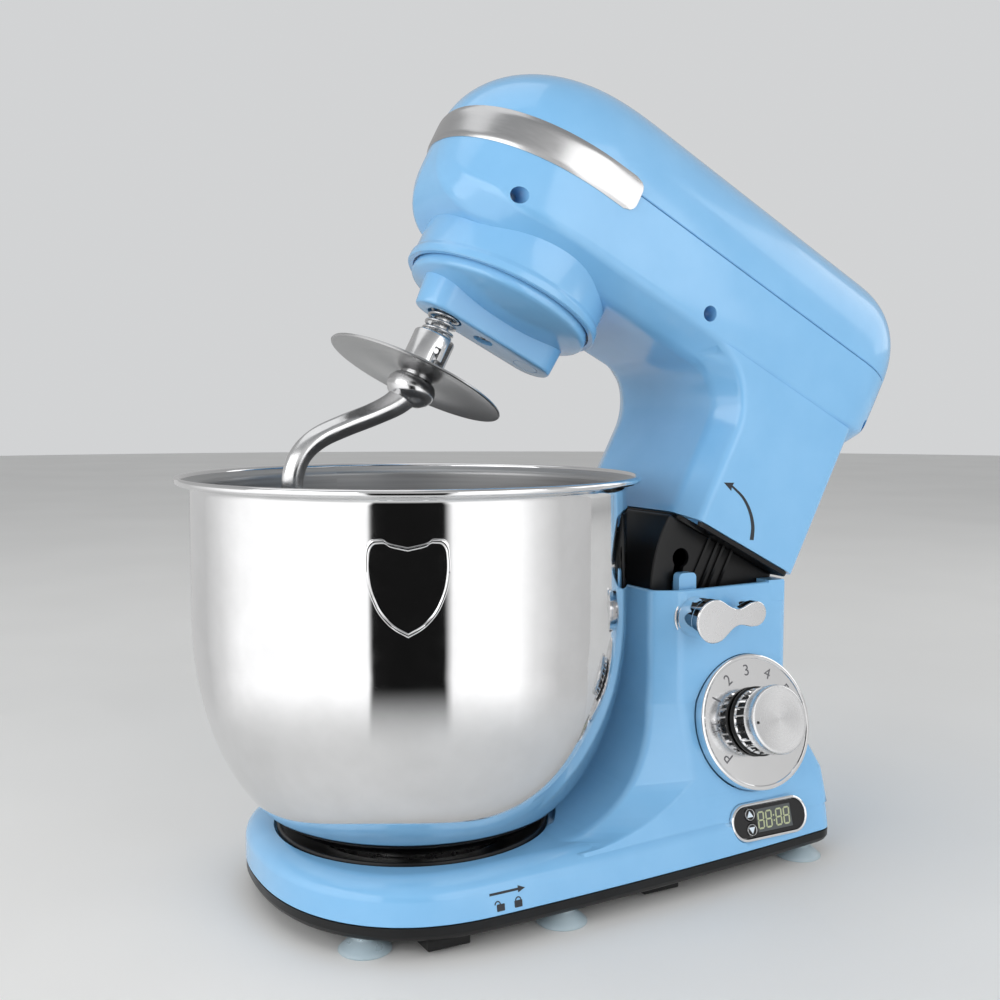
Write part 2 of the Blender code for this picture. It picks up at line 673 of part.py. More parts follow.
# ---- head shells --------------------------------------------------------------------------
def head_half(y):
    """Half width of the head in plan."""
    if y < 0:
        return HEAD_HALF * quarter(y / NOSE_Y, 2.1)
    return HEAD_HALF * quarter((y - TAIL_STRAIGHT_Y) / (TAIL_Y - TAIL_STRAIGHT_Y), 2.6)


def head_crown(y):
    """Height of the head's ridge above the parting line."""
    if y < NOSE_STRAIGHT_Y:
        return CROWN * quarter((NOSE_STRAIGHT_Y - y) / (NOSE_STRAIGHT_Y - NOSE_Y), 2.25)
    return CROWN * quarter((y - TAIL_STRAIGHT_Y) / (TAIL_Y - TAIL_STRAIGHT_Y), 2.3)


def head_belly(y):
    """Depth of the head below the parting line."""
    if y < 0:
        return BELLY * quarter(y / NOSE_Y, 4)
    return BELLY * quarter((y - 0.170) / (TAIL_Y - 0.170), 3.2)


def stations(inset):
    """Places along the head, closer together at its rounded ends."""
    nose, tail = NOSE_Y + inset, TAIL_Y - inset
    bends = [1 - math.cos(math.radians(a)) for a in range(14, 91, 19)]
    front = [nose + (0.030 - nose) * bend for bend in bends]
    rear = [tail - (tail - 0.180) * bend for bend in bends]
    return [nose] + front + [0.100] + rear[::-1] + [tail]


def half_section(y, inset, depth, power, sign, low):
    """Section of the head's upper or lower half at y, from +X round to -X."""
    middle, half = (NOSE_Y + TAIL_Y) / 2, (TAIL_Y - NOSE_Y) / 2
    real = middle + (y - middle) / (half - inset) * half
    wide = head_half(real) * (1 - inset / HEAD_HALF)
    tall = depth(real) * (1 - inset / CROWN)
    steps = 12
    ring = []
    for i in range(steps + 1):
        angle = math.pi * i / steps
        c, s = math.cos(angle), math.sin(angle)
        x = wide * math.copysign(abs(c) ** (2 / power), c)
        z = sign * tall * abs(s) ** (2 / power)
        ring.append((x, y, HEAD_SPLIT + sign * low + z))
    return ring


def half_head(name, inset, depth, power, sign, low):
    rings = []
    places = stations(inset)
    rings.append([(0.0, places[0], HEAD_SPLIT + sign * low)])
    rings += [half_section(y, inset, depth, power, sign, low) for y in places[1:-1]]
    rings.append([(0.0, places[-1], HEAD_SPLIT + sign * low)])
    return loft(name, rings)


def head_upper():
    shell = half_head("head_upper_housing", 0.0, head_crown, CROWN_POWER, 1, 0.0002)
    return cut(shell, half_head("hollow", WALL, head_crown, CROWN_POWER, 1, -0.0003))


def neck_ring(z, inset):
    """Horizontal section of the neck, with its front swept forward under the head."""
    rise = min(1.0, max(0.0, (z - 0.213) / 0.027))
    front = NECK_FRONT - 0.027 * (1 - math.sqrt(1 - rise ** 2)) + inset
    side = NECK_HALF - inset
    rear = NECK_REAR - inset
    flat = 0.043
    half = [(0.0, front)]
    for a in (90, 45, 0):
        bend = math.radians(a)
        half.append((flat + (side - flat) * math.cos(bend), front + 0.008 * (1 - math.sin(bend))))
    half += arc((side - 0.006, rear - 0.006), 0.006, 0, 90, 3)
    half.append((0.0, rear))
    return [(x, y, z) for x, y in mirrored(half)]


def neck(name, inset, low, high):
    levels = [low, 0.213, 0.227, 0.2365, 0.240, high]
    return loft(name, [neck_ring(z, inset) for z in levels])


def head_lower():
    axis = (0.0, AXIS_Y)
    shell = half_head("head_lower_housing", 0.0, head_belly, BELLY_POWER, -1, 0.0002)
    skirt = turned("skirt", [(0.0, LIP_Z), (LIP_R, LIP_Z), (LIP_R, LIP_Z + 0.004),
                             (0.0530, LIP_Z + 0.007), (0.0530, 0.262), (0.0, 0.262)], 32, axis)
    shell = join(shell, neck("neck", 0.0, NECK_FOOT, 0.256), skirt)
    hollow = half_head("hollow", WALL, head_belly, BELLY_POWER, -1, -0.0003)
    room = CARRIER_R + 0.0008
    gearbox = [(0.0, LIP_Z - 0.001), (room, LIP_Z - 0.001), (room, LIP_Z + 0.0045),
               (0.0500, LIP_Z + 0.0050), (0.0500, 0.2625), (0.0, 0.2625)]
    shell = cut(shell, hollow, neck("neck_hollow", WALL, NECK_FOOT - 0.001, 0.2575),
                turned("gearbox", gearbox, 32, axis))
    return screw_sockets(shell)


def screw_sockets(shell):
    """Join a boss to the shell for each screw, and sink its socket."""
    bosses, holes = [], []
    for face, y, z in head_screw_spots():
        for side in (1, -1):
            reach = [(0.0055, face - 0.0030, face + 0.0075),
                     (0.0018, face - 0.0050, face + 0.0010),
                     (0.0040, face, face + 0.0200)]
            made = [prism("screw", circle((y, z), radius, 8), *sorted((side * near, side * far)), "X")
                    for radius, near, far in reach]
            inside = half_head("inside", WALL / 3, head_belly, BELLY_POWER, -1, 0.0)
            bosses.append(boolean(made[0], [inside], "INTERSECT"))
            holes += made[1:]
    return cut(join(shell, *bosses), *holes)


def head_screw_spots():
    """Where each screw's head sits: its distance from the middle, then y and z."""
    return [(0.0440, -0.0395, 0.2580), (0.0520, 0.0830, 0.2605), (0.0450, 0.2180, 0.2620)]


def head_screw(name, side):
    """Screw in its socket, along X, with its origin under the head."""
    profile = [(0.0, -0.0038), (0.0014, -0.0038), (0.0014, GAP), (0.0033, GAP),
               (0.0033, 0.0025), (0.0, 0.0025)]
    screw = turned(name, profile, 8)
    turn(screw, Matrix.Rotation(math.radians(90 * side), 4, "Y"))
    return screw


def contour(z, out, count=8):
    """The head's outline at height z in front of TRIM_END, moved outwards by out."""
    above = abs(z - HEAD_SPLIT)
    depth, power = (head_crown, CROWN_POWER) if z > HEAD_SPLIT else (head_belly, BELLY_POWER)
    low, high = NOSE_Y, 0.0
    for _ in range(40):
        middle = (low + high) / 2
        low, high = (middle, high) if depth(middle) < above else (low, middle)
    tip = high
    half = []
    for i in range(count + 1):
        y = tip + (TRIM_END - tip) * (1 - math.cos(math.pi * i / (2 * count)))
        wide = head_half(y) * quarter(above / max(depth(y), 1e-6), power)
        half.append(Vector((wide, y)))
    line = [Vector((-p.x, p.y)) for p in reversed(half[1:])] + half
    moved = []
    for i, point in enumerate(line):
        along = line[min(i + 1, len(line) - 1)] - line[max(i - 1, 0)]
        normal = Vector((along.y, -along.x)).normalized()
        moved.append(point + normal * out)
    return [(p.x, p.y, z) for p in moved]


def trim_band():
    """Bright strip that wraps the nose over the parting line."""
    levels = [TRIM_LOW + (TRIM_HIGH - TRIM_LOW) * i / 3 for i in range(4)]
    outer = [contour(z, 0.0019) for z in levels]
    inner = [contour(z, 0.0009) for z in reversed(levels)]
    lines = outer + inner
    rings = [[line[i] for line in lines] for i in range(len(lines[0]))]
    return loft("trim_band", rings)


def neck_skirt():
    """Black slotted skirt that follows the neck down into the column, about the hinge."""
    flange = loft("neck_skirt", [neck_shape(0.0015, 0.1587), neck_shape(0.0015, NECK_FOOT - GAP)])
    flange = cut(flange, box("opening", (-0.0445, 0.128, 0.150), (0.0445, 0.190, 0.170)),
                 box("notch", (0.0485, 0.1200, 0.150), (0.0575, 0.1450, 0.170)),
                 box("notch", (-0.0575, 0.1200, 0.150), (-0.0485, 0.1450, 0.170)),
                 box("back", (-0.070, 0.2005, 0.150), (0.070, 0.220, 0.170)))
    body = prism("body", sector(SKIRT_R, 0.0, 0.0), -SKIRT_HALF, SKIRT_HALF, "X")
    inside = SKIRT_HALF - 0.0026
    room = prism("room", sector(SKIRT_R - 0.0028, 0.010, 0.08), -inside, inside, "X")
    body = cut(body, room)
    skirt = join(flange, body)
    ears = [prism("knuckle", circle((HINGE_Y, HINGE_Z), KNUCKLE_R),
                  *sorted((side * inside, side * SKIRT_HALF)), "X") for side in (1, -1)]
    skirt = join(skirt, *ears)
    bore = prism("bore", circle((HINGE_Y, HINGE_Z), PIN_R + GAP), -0.06, 0.06, "X")
    return cut(skirt, bore, *latch_slots())


def neck_shape(inset, z):
    return [(x, y, z) for x, y, _ in neck_ring(NECK_FOOT, inset)]


def sector(radius, cut_back, extra):
    """Side view of the skirt: a sector about the hinge under the neck's flange."""
    top = math.asin((0.1590 - HINGE_Z + extra * 0.1) / radius)
    points = []
    steps = 8
    for i in range(steps + 1):
        angle = top - (top + SKIRT_ANGLE + extra) * i / steps
        points.append((HINGE_Y - radius * math.cos(angle), HINGE_Z + radius * math.sin(angle)))
    if cut_back:
        rear = HINGE_Y - cut_back
        return points + [(rear, HINGE_Z - 0.03), (rear, points[0][1])]
    return points + [(HINGE_Y - 0.002, HINGE_Z - 0.005), (HINGE_Y + 0.001, HINGE_Z),
                     (HINGE_Y + 0.001, points[0][1])]


def latch_slots():
    """An arc slot about the hinge with a round end at each of the head's two positions."""
    reach = math.hypot(HINGE_Y - LEVER_Y, HINGE_Z - LEVER_Z)
    start = math.atan2(HINGE_Z - LEVER_Z, HINGE_Y - LEVER_Y)
    half = LATCH_FLAT + GAP
    steps = 8
    angles = [start + TILT * i / steps for i in range(steps + 1)]

    def at(distance, a):
        return (HINGE_Y - distance * math.cos(a), HINGE_Z - distance * math.sin(a))

    outer = [at(reach + half, a) for a in angles]
    inner = [at(reach - half, a) for a in angles]
    tools = [prism("slot", outer + inner[::-1], -0.06, 0.06, "X")]
    for a in (angles[0], angles[-1]):
        tools.append(prism("end", circle(at(reach, a), LATCH_R + 0.0004), -0.06, 0.06, "X"))
    return tools


# ---- gears --------------------------------------------------------------------------------
def involute(radius, base):
    """Involute angle at a radius."""
    ratio = min(1.0, base / radius)
    pressure = math.acos(ratio)
    return math.tan(pressure) - pressure


def gear_outline(teeth, module, phase, inside=False, slack=0.00018):
    """Involute teeth. A tooth points along the phase angle; slack is taken off each flank."""
    pitch = teeth * module / 2
    base = pitch * math.cos(math.radians(PRESSURE))
    low, high = (pitch - 1.2 * module, pitch + 0.95 * module)
    if inside:
        low, high = (pitch - 0.85 * module, pitch + 1.25 * module)
        slack = -slack
    at_pitch = math.pi / (2 * teeth) + involute(pitch, base) - slack / pitch
    outline = []
    for k in range(teeth):
        middle = phase + 2 * math.pi * k / teeth
        up = [(r, middle - at_pitch + involute(max(r, base), base)) for r in (low, high)]
        down = [(r, 2 * middle - a) for r, a in reversed(up)]
        outline += [(r * math.cos(a), r * math.sin(a)) for r, a in up + down]
    return outline


def compound(name, big, small, big_low, big_high, small_low, small_high, bore, big_phase, small_phase):
    """A wheel with its pinion, on one bore."""
    wheel = prism(name, gear_outline(big, TRAIN_MODULE, big_phase), big_low, big_high)
    pinion = prism("pinion", gear_outline(small, TRAIN_MODULE, small_phase), small_low, small_high)
    wheel = join(wheel, pinion)
    return cut(wheel, rod("bore", bore, 0.2, 0.32, 16))


def mesh_phase(teeth):
    """A tooth gap facing -Y, towards the gear in front."""
    return -math.pi / 2 + math.pi / teeth


def gear_train(pivot):
    """Three reductions from the motor in the neck to the planetary shaft in the nose."""
    second = empty("second_axis", pivot, (0.0, SECOND_Y - HINGE_Y, -HINGE_Z))
    piece = compound("second_gear", SECOND_TEETH, SECOND_PINION, 0.2630, 0.2690, 0.2515, 0.2640,
                     0.0043, math.pi / 2, mesh_phase(SECOND_PINION))
    finish(piece, second, "nylon")
    first = empty("first_axis", pivot, (0.0, FIRST_Y - HINGE_Y, -HINGE_Z))
    piece = compound("first_gear", FIRST_TEETH, FIRST_PINION, 0.2720, 0.2775, 0.2624, 0.2730,
                     0.0043, math.pi / 2, mesh_phase(FIRST_PINION))
    finish(piece, first, "nylon")
    motor = empty("motor_axis", pivot, (0.0, MOTOR_Y - HINGE_Y, -HINGE_Z))
    teeth = gear_outline(MOTOR_PINION, TRAIN_MODULE, mesh_phase(MOTOR_PINION))
    pinion = prism("motor_pinion", teeth, 0.2715, 0.2785)
    finish(cut(pinion, rod("bore", 0.0033, 0.2, 0.3, 16)), motor, "steel")
    finish(motor_rotor(), motor, "copper")


def motor_rotor():
    """Armature, commutator, shaft and cooling fan, turned as one."""
    profile = [(0.0, 0.1690), (0.0030, 0.1690), (0.0030, 0.1740), (0.0085, 0.1740), (0.0085, 0.1840),
               (0.0120, 0.1860), (0.0165, 0.1880), (0.0165, 0.2240), (0.0120, 0.2270),
               (0.0060, 0.2280), (0.0060, 0.2300), (0.0220, 0.2300), (0.0220, 0.2340), (0.0060, 0.2360),
               (0.0060, 0.2380), (0.0030, 0.2380), (0.0030, 0.2800), (0.0, 0.2800)]
    return turned("motor_rotor", profile, 16)


def motor_stator():
    """Laminated stack with its coils, open at both ends."""
    return tube("motor_stator", 0.0173, 0.0278, 0.1900, 0.2220, 20, (0.0, MOTOR_Y))


def motor_bracket():
    """Cage that hangs the stator from the gearbox plate and carries the lower bearing."""
    profile = [(0.0033, 0.1705), (0.0306, 0.1705), (0.0306, 0.2447), (0.0283, 0.2447),
               (0.0283, 0.1730), (0.0033, 0.1730)]
    cage = turned("motor_bracket", profile, 20, (0.0, MOTOR_Y))
    windows = [box("vent", (-0.05, MOTOR_Y - 0.008, 0.2250), (0.05, MOTOR_Y + 0.008, 0.2380)),
               box("vent", (-0.008, MOTOR_Y - 0.05, 0.2250), (0.008, MOTOR_Y + 0.05, 0.2380)),
               box("vent", (-0.05, MOTOR_Y - 0.008, 0.1750), (0.05, MOTOR_Y + 0.008, 0.1860))]
    return cut(cage, *windows)


def gearbox_plate():
    """Metal plate across the head that carries the axles, the main bearing and the motor."""
    outline = arc((0.0, AXIS_Y), 0.0440, -180, 0, 12)
    right = [(0.0395, 0.0180), (0.0345, 0.0300), (0.0345, MOTOR_Y + 0.022), (0.026, MOTOR_Y + 0.034)]
    outline += right + [(-x, y) for x, y in reversed(right)]
    plate = prism("gearbox_plate", outline, 0.2450, 0.2485)
    hub = rod("hub", 0.0110, 0.2415, 0.2505, 16, (0.0, AXIS_Y))
    plate = join(plate, hub)
    holes = [rod("hole", 0.0053, 0.2, 0.3, 16, (0.0, AXIS_Y)),
             rod("hole", 0.0043, 0.2, 0.3, 16, (0.0, SECOND_Y)),
             rod("hole", 0.0043, 0.2, 0.3, 16, (0.0, FIRST_Y)),
             rod("hole", 0.0070, 0.2, 0.3, 16, (0.0, MOTOR_Y))]
    return cut(plate, *holes)


def ring_gear():
    """Fixed internal gear in the nose."""
    teeth = gear_outline(RING_TEETH, RING_MODULE, math.pi / 2, inside=True)
    hole = [(x, y + AXIS_Y) for x, y in teeth]
    ring = rod("ring_gear", 0.0496, 0.2290, 0.2400, 32, (0.0, AXIS_Y))
    return cut(ring, prism("teeth", hole, 0.2, 0.3))


def planet_gear():
    """Pinion on the tool's shaft, with a tooth in the ring's gap towards the nose."""
    outline = gear_outline(PLANET_TEETH, RING_MODULE, -math.pi / 2)
    gear = prism("planet_gear", outline, 0.2300, 0.2390)
    return cut(gear, rod("bore", 0.0053, 0.2, 0.3, 16))


def main_gear():
    gear = prism("main_gear", gear_outline(MAIN_TEETH, TRAIN_MODULE, math.pi / 2), 0.2520, 0.2600)
    return cut(gear, rod("bore", 0.0053, 0.2, 0.3, 16))


def planet_carrier():
    """Blue cover that turns with the planetary shaft and holds the tool's shaft off centre."""
    profile = [(0.0, 0.2195), (0.0400, 0.2195), (0.0455, 0.2180), (0.0485, 0.2175), (CARRIER_R, 0.2195),
               (CARRIER_R, 0.2225), (0.0495, 0.2260), (0.0, 0.2260)]
    carrier = turned("planet_carrier", profile, 32)
    steps = ((BAR_Z, 0.0122, 0.0295), (BAR_Z + 0.0012, 0.0134, 0.0295), (0.2120, 0.0144, 0.0295),
             (0.2230, 0.0175, 0.0295))
    rings = [[(y, x, z) for x, y in stadium(half, radius, 6)] for z, radius, half in steps]
    bar = loft("bar", rings)
    carrier = join(carrier, bar)
    tool = (0.0, -TOOL_OFFSET)
    return cut(carrier, rod("seat", 0.0098, 0.19, 0.2070, 20, tool),
               rod("bore", 0.0053, 0.19, 0.24, 16, tool), rod("bore", 0.0053, 0.2075, 0.24, 16),
               rod("screw", 0.0024, 0.19, 0.24, 12), rod("head", 0.0052, 0.19, 0.2045, 16))


def planet_shaft():
    shaft = rod("planet_shaft", 0.0050, 0.2078, 0.2820, 16)
    return cut(shaft, rod("thread", 0.0023, 0.20, 0.2230, 12))


def carrier_screw():
    profile = [(0.0, 0.2018), (0.0042, 0.2018), (0.0044, 0.2042), (0.0020, 0.2042),
               (0.0020, 0.2200), (0.0, 0.2200)]
    return turned("carrier_screw", profile, 12)


def head_parts(pivot):
    home = (0.0, -HINGE_Y, -HINGE_Z)
    finish(head_upper(), pivot, "blue", home)
    finish(head_lower(), pivot, "blue", home)
    finish(trim_band(), pivot, "chrome", home)
    finish(neck_skirt(), pivot, "black", home)
    finish(gearbox_plate(), pivot, "steel", home)
    finish(ring_gear(), pivot, "nylon", home)
    finish(motor_stator(), pivot, "copper", home)
    finish(motor_bracket(), pivot, "steel", home)
    for name, y, top in (("second_axle", SECOND_Y, 0.2770), ("first_axle", FIRST_Y, 0.2840)):
        finish(rod(name, 0.0040, 0.2435, top, 12, (0.0, y)), pivot, "steel", home)
    for i, (face, y, z) in enumerate(head_screw_spots()):
        for side, word in ((1, "right"), (-1, "left")):
            screw = head_screw(f"head_screw_{word}_{i + 1}", side)
            finish(screw, pivot, "steel", (side * face, y - HINGE_Y, z - HINGE_Z))


# ---- planetary drive and tool -------------------------------------------------------------
def tool_shaft():
    shaft = rod("tool_shaft", 0.0050, 0.1690, 0.2410, 16)
    hole = turn(rod("hole", 0.0018, -0.01, 0.01, 12), pin_place())
    return cut(shaft, hole)


def pin_place():
    return Matrix.Translation((0.0, 0.0, 0.1800)) @ Matrix.Rotation(math.radians(90), 4, "Y")


def drive_pin():
    return turn(rod("drive_pin", 0.0015, -0.0098, 0.0098, 10), pin_place())


def tool_spring():
    """Coil spring between the carrier and the hook's hub."""
    turns, wire, radius = 4, 0.0008, 0.0078
    low, high = HUB_TOP + GAP + wire, 0.2066 - wire
    per_turn = 10
    rings = []
    for i in range(turns * per_turn + 1):
        angle = 2 * math.pi * i / per_turn
        z = low + (high - low) * i / (turns * per_turn)
        out = Vector((math.cos(angle), math.sin(angle), 0.0))
        centre = out * radius + Vector((0, 0, z))
        rings.append([tuple(centre + out * wire * math.cos(b) + Vector((0, 0, wire * math.sin(b))))
                      for b in (math.pi * k / 2 for k in range(4))])
    return loft("tool_spring", rings)


def smooth_path(points, per_span=1):
    """Catmull-Rom points through a route in the (y, z) plane."""
    out = []
    for i in range(len(points) - 1):
        p = [Vector(points[max(0, min(len(points) - 1, i + k))]) for k in (-1, 0, 1, 2)]
        for s in range(per_span):
            t = s / per_span
            square = 2 * p[0] - 5 * p[1] + 4 * p[2] - p[3]
            cube = 3 * p[1] - p[0] - 3 * p[2] + p[3]
            out.append(0.5 * (2 * p[1] + (p[2] - p[0]) * t + square * t ** 2 + cube * t ** 3))
    return out + [Vector(points[-1])]


def dough_hook():
    """Hub sleeve, ball and bent rod, cast as one."""
    profile = [(0.0, 0.1500), (0.0060, 0.1502), (0.0110, 0.1530), (0.0130, 0.1580), (0.0118, 0.1620),
               (0.0085, 0.1642), (0.0085, 0.1678), (0.0110, 0.1678), (0.0110, 0.1880), (0.0102, HUB_TOP),
               (0.0, HUB_TOP)]
    hub = turned("dough_hook", profile, 16)
    route = smooth_path(HOOK_PATH)
    rings = []
    for i, point in enumerate(route):
        along = (route[min(i + 1, len(route) - 1)] - route[max(i - 1, 0)]).normalized()
        side = Vector((-along.y, along.x))
        fade = i / (len(route) - 1)
        thick = 0.0056 - 0.0012 * fade
        ring = []
        for k in range(8):
            angle = 2 * math.pi * k / 8
            flat = side * thick * math.sin(angle)
            ring.append((thick * math.cos(angle), point.x + flat.x, point.y + flat.y))
        rings.append(ring)
    end = route[-1] + (route[-1] - route[-2]).normalized() * 0.003
    rings.append([(0.0, end.x, end.y)])
    hub = join(hub, loft("rod", rings))
    slot = box("slot", (-0.02, -0.0018, 0.1722), (0.02, 0.0018, 0.1818))
    entry = turn(box("entry", (-0.02, -0.0018, 0.1722), (0.02, 0.0018, 0.20)),
                 Matrix.Rotation(math.radians(35), 4, "Z"))
    cross = [prism("cross", arc((0, 0), 0.02, start, start + 35, 4) + [(0.0, 0.0)], 0.1722, 0.1758)
             for start in (0, 180)]
    return cut(hub, rod("bore", 0.0053, 0.1625, 0.20, 16), slot, entry, *cross)


def hook_disc():
    """Steel disc that keeps dough off the spring."""
    low, top = DISC_Z, DISC_Z + 0.0015
    profile = [(0.0088, low), (0.0300, low), (DISC_R - 0.0012, low - 0.0018),
               (DISC_R, low - 0.0012), (DISC_R - 0.0008, low - 0.0002), (0.0300, top), (0.0088, top)]
    return turned("hook_disc", profile, 28)


def drive_parts(pivot):
    carrier = empty("carrier_axis", pivot, (0.0, AXIS_Y - HINGE_Y, -HINGE_Z))
    finish(main_gear(), carrier, "nylon")
    finish(planet_shaft(), carrier, "steel")
    finish(planet_carrier(), carrier, "blue")
    finish(carrier_screw(), carrier, "steel")
    tool = empty("tool_axis", carrier, (0.0, -TOOL_OFFSET, 0.0))
    finish(tool_shaft(), tool, "steel")
    finish(planet_gear(), tool, "steel")
    finish(drive_pin(), tool, "steel")
    finish(tool_spring(), tool, "steel")
    finish(dough_hook(), tool, "steel")
    finish(hook_disc(), tool, "steel")


def main():
    clear_scene()
    bench = empty("bench", None, (0.0, BOWL_AXIS_Y, 0.0))
    pivot = empty("head_pivot", bench, (0.0, HINGE_Y, HINGE_Z), -TILT)
    base_parts(bench)
    controls(bench)
    lever_parts(bench)
    bowl_parts(bench)
    head_parts(pivot)
    gear_train(pivot)
    drive_parts(pivot)


main()
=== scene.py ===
from math import acos, asin, atan2, copysign, cos, degrees, hypot, pi, radians, sin, sqrt, tan

import bmesh
import bpy
from mathutils import Matrix, Vector
from mathutils.bvhtree import BVHTree


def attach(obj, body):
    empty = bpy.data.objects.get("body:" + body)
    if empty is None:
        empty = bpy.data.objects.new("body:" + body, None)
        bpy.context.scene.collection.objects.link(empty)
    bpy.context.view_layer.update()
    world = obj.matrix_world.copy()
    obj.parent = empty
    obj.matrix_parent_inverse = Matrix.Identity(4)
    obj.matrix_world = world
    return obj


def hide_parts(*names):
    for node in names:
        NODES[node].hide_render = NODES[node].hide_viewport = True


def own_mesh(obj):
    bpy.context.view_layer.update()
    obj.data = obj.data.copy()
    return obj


# Looks of the tilt-head stand mixer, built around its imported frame. Metres, +Z up, nose along -Y.
# Every piece is modelled with the head closed and the bowl's axis at x = y = 0. BENCH then stands
# it on the ground, and HEAD raises it about the hinge as the frame has it at rest.
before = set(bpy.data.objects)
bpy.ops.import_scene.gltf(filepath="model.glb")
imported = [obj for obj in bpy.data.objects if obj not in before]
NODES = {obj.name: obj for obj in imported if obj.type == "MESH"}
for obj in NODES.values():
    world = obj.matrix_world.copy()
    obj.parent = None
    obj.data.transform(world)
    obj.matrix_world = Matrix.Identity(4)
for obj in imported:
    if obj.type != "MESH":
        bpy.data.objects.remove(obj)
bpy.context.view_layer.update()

# ---- dimensions shared with the frame
BOWL_AXIS_Y = -0.0915
BASE_HALF, BASE_FRONT, SHELL = 0.094, 0.085, 0.003
TILT = radians(27.4)
HINGE_Y, HINGE_Z = 0.1995, 0.1525
RIM_Z, RIM_R, RIM_TUBE = 0.2163, 0.1181, 0.0018
BOWL_R, BOWL_FLOOR_Z, BOWL_SHEET, BOWL_KNEE = 0.1125, 0.035, 0.0012, 0.146
FLOOR_R, FOOT_R, FOOT_Z = 0.048, 0.0475, 0.0243
PLATE_Z, SPLIT_Z, DECK_Z = 0.008, 0.016, 0.036
COLUMN_TOP, COLUMN_REAR_Y, REAR_SPREAD = 0.1555, 0.208, 0.018
SLOPE, SHOULDER_Z = 0.298, 0.095
NOSE_Y, TAIL_Y, HEAD_HALF, HEAD_SPLIT = -0.072, 0.233, 0.062, 0.291
CROWN, BELLY, CROWN_POWER = 0.059, 0.051, 2.2
NECK_FRONT, NECK_REAR, NECK_HALF, NECK_FOOT = 0.122, 0.205, 0.0605, 0.1615
SWEEP_Z = 0.213
AXIS_Y, TOOL_OFFSET = -0.0025, 0.0255
LIP_R, CARRIER_R, LIP_Z, BAR_Z = 0.0545, 0.0504, 0.223, 0.2005
HUB_TOP, SPRING_TOP, DISC_R = 0.189, 0.2066, 0.048
LEVER_Y, LEVER_Z, LEVER_RISE = 0.1375, 0.141, radians(4)
LATCH_R, LATCH_FLAT = 0.005, 0.0029
SKIRT_R, SKIRT_HALF, SKIRT_ANGLE = 0.08, 0.047, radians(46)
DIAL, DIAL_R, KNOB_R, KNOB_RISE = Vector((0.0728, 0.1727, 0.082)), 0.0368, 0.0184, 0.0192
TIMER, TIMER_HALF, TIMER_R = Vector((0.0815, 0.1745, 0.0302)), 0.016, 0.0101
BUTTON_X, BUTTON_V, BUTTON_R = -0.0132, 0.004, 0.0034
WALL_LEAN = radians(16.6)
TRIM_END, TRIM_LOW, TRIM_HIGH = 0.016, 0.2795, 0.298
BASE_FEET = [(side * x, y) for x, y in ((0.064, -0.053), (0.081, 0.044), (0.069, 0.207))
    for side in (1, -1)]
SCREW_SINK, GLAND = 0.004, (0.045, 0.034)
HEAD_SCREWS = [(0.044, -0.0395, 0.258), (0.052, 0.083, 0.2605), (0.045, 0.218, 0.262)]

BENCH = Matrix.Translation((0.0, BOWL_AXIS_Y, 0.0))
HEAD = (Matrix.Translation((0.0, BOWL_AXIS_Y + HINGE_Y, HINGE_Z)) @ Matrix.Rotation(-TILT, 4, "X")
    @ Matrix.Translation((0.0, -HINGE_Y, -HINGE_Z)))
PLANET = HEAD @ Matrix.Translation((0.0, AXIS_Y, 0.0))
TOOL = PLANET @ Matrix.Translation((0.0, -TOOL_OFFSET, 0.0))


def leaning(centre):
    """Placement on the leaning side wall: local x rearwards, y up the wall, z outwards."""
    across = Vector((0.0, 1.0, 0.0))
    out = Vector((cos(WALL_LEAN), 0.0, sin(WALL_LEAN)))
    turn = Matrix((across, out.cross(across), out)).transposed().to_4x4()
    return BENCH @ Matrix.Translation(centre) @ turn


# ---- mesh helpers
def placed(name, data):
    obj = bpy.data.objects.new(name, data)
    bpy.context.scene.collection.objects.link(obj)
    return obj


def meshed(name, bm):
    mesh = bpy.data.meshes.new(name)
    bm.to_mesh(mesh)
    bm.free()
    return placed(name, mesh)


def solid(name, verts, faces, crease=35):
    bm = bmesh.new()
    made = [bm.verts.new(v) for v in verts]
    for face in faces:
        bm.faces.new([made[i] for i in face])
    bmesh.ops.recalc_face_normals(bm, faces=bm.faces)
    return shaded(meshed(name, bm), crease)


def shaded(obj, crease=35):
    obj.data.shade_smooth()
    obj.data.set_sharp_from_angle(angle=radians(crease))
    return obj


def loft(name, rings, closed=False, crease=35):
    """Skin rings of points in order. A ring of one point is a tip, and open ends are capped."""
    verts, starts = [], []
    for ring in rings:
        starts.append(len(verts))
        verts.extend(ring)
    pairs = list(zip(range(len(rings)), range(1, len(rings))))
    if closed:
        pairs.append((len(rings) - 1, 0))
    faces = []
    for a, b in pairs:
        n = max(len(rings[a]), len(rings[b]))
        for i in range(n):
            j = (i + 1) % n
            face = [starts[a] + i, starts[a] + j] if len(rings[a]) > 1 else [starts[a]]
            face += [starts[b] + j, starts[b] + i] if len(rings[b]) > 1 else [starts[b]]
            faces.append(face)
    if not closed:
        for k in (0, len(rings) - 1):
            if len(rings[k]) > 1:
                faces.append([starts[k] + i for i in range(len(rings[k]))])
    return solid(name, verts, faces, crease)


def polar(radius, angle, centre=(0.0, 0.0)):
    return (centre[0] + radius * cos(angle), centre[1] + radius * sin(angle))


def turned(name, profile, segments=96, centre=(0.0, 0.0), crease=35):
    """A turned solid about Z from a profile of (radius, z)."""
    rings = []
    closed = profile[0][0] > 0.0
    for radius, z in profile:
        if radius > 0.0:
            rings.append([(*polar(radius, 2 * pi * i / segments, centre), z) for i in range(segments)])
        else:
            rings.append([(centre[0], centre[1], z)])
    return loft(name, rings, closed=closed, crease=crease)


def rod(name, radius, low, high, segments=32, centre=(0.0, 0.0)):
    return turned(name, [(0.0, low), (radius, low), (radius, high), (0.0, high)], segments, centre)


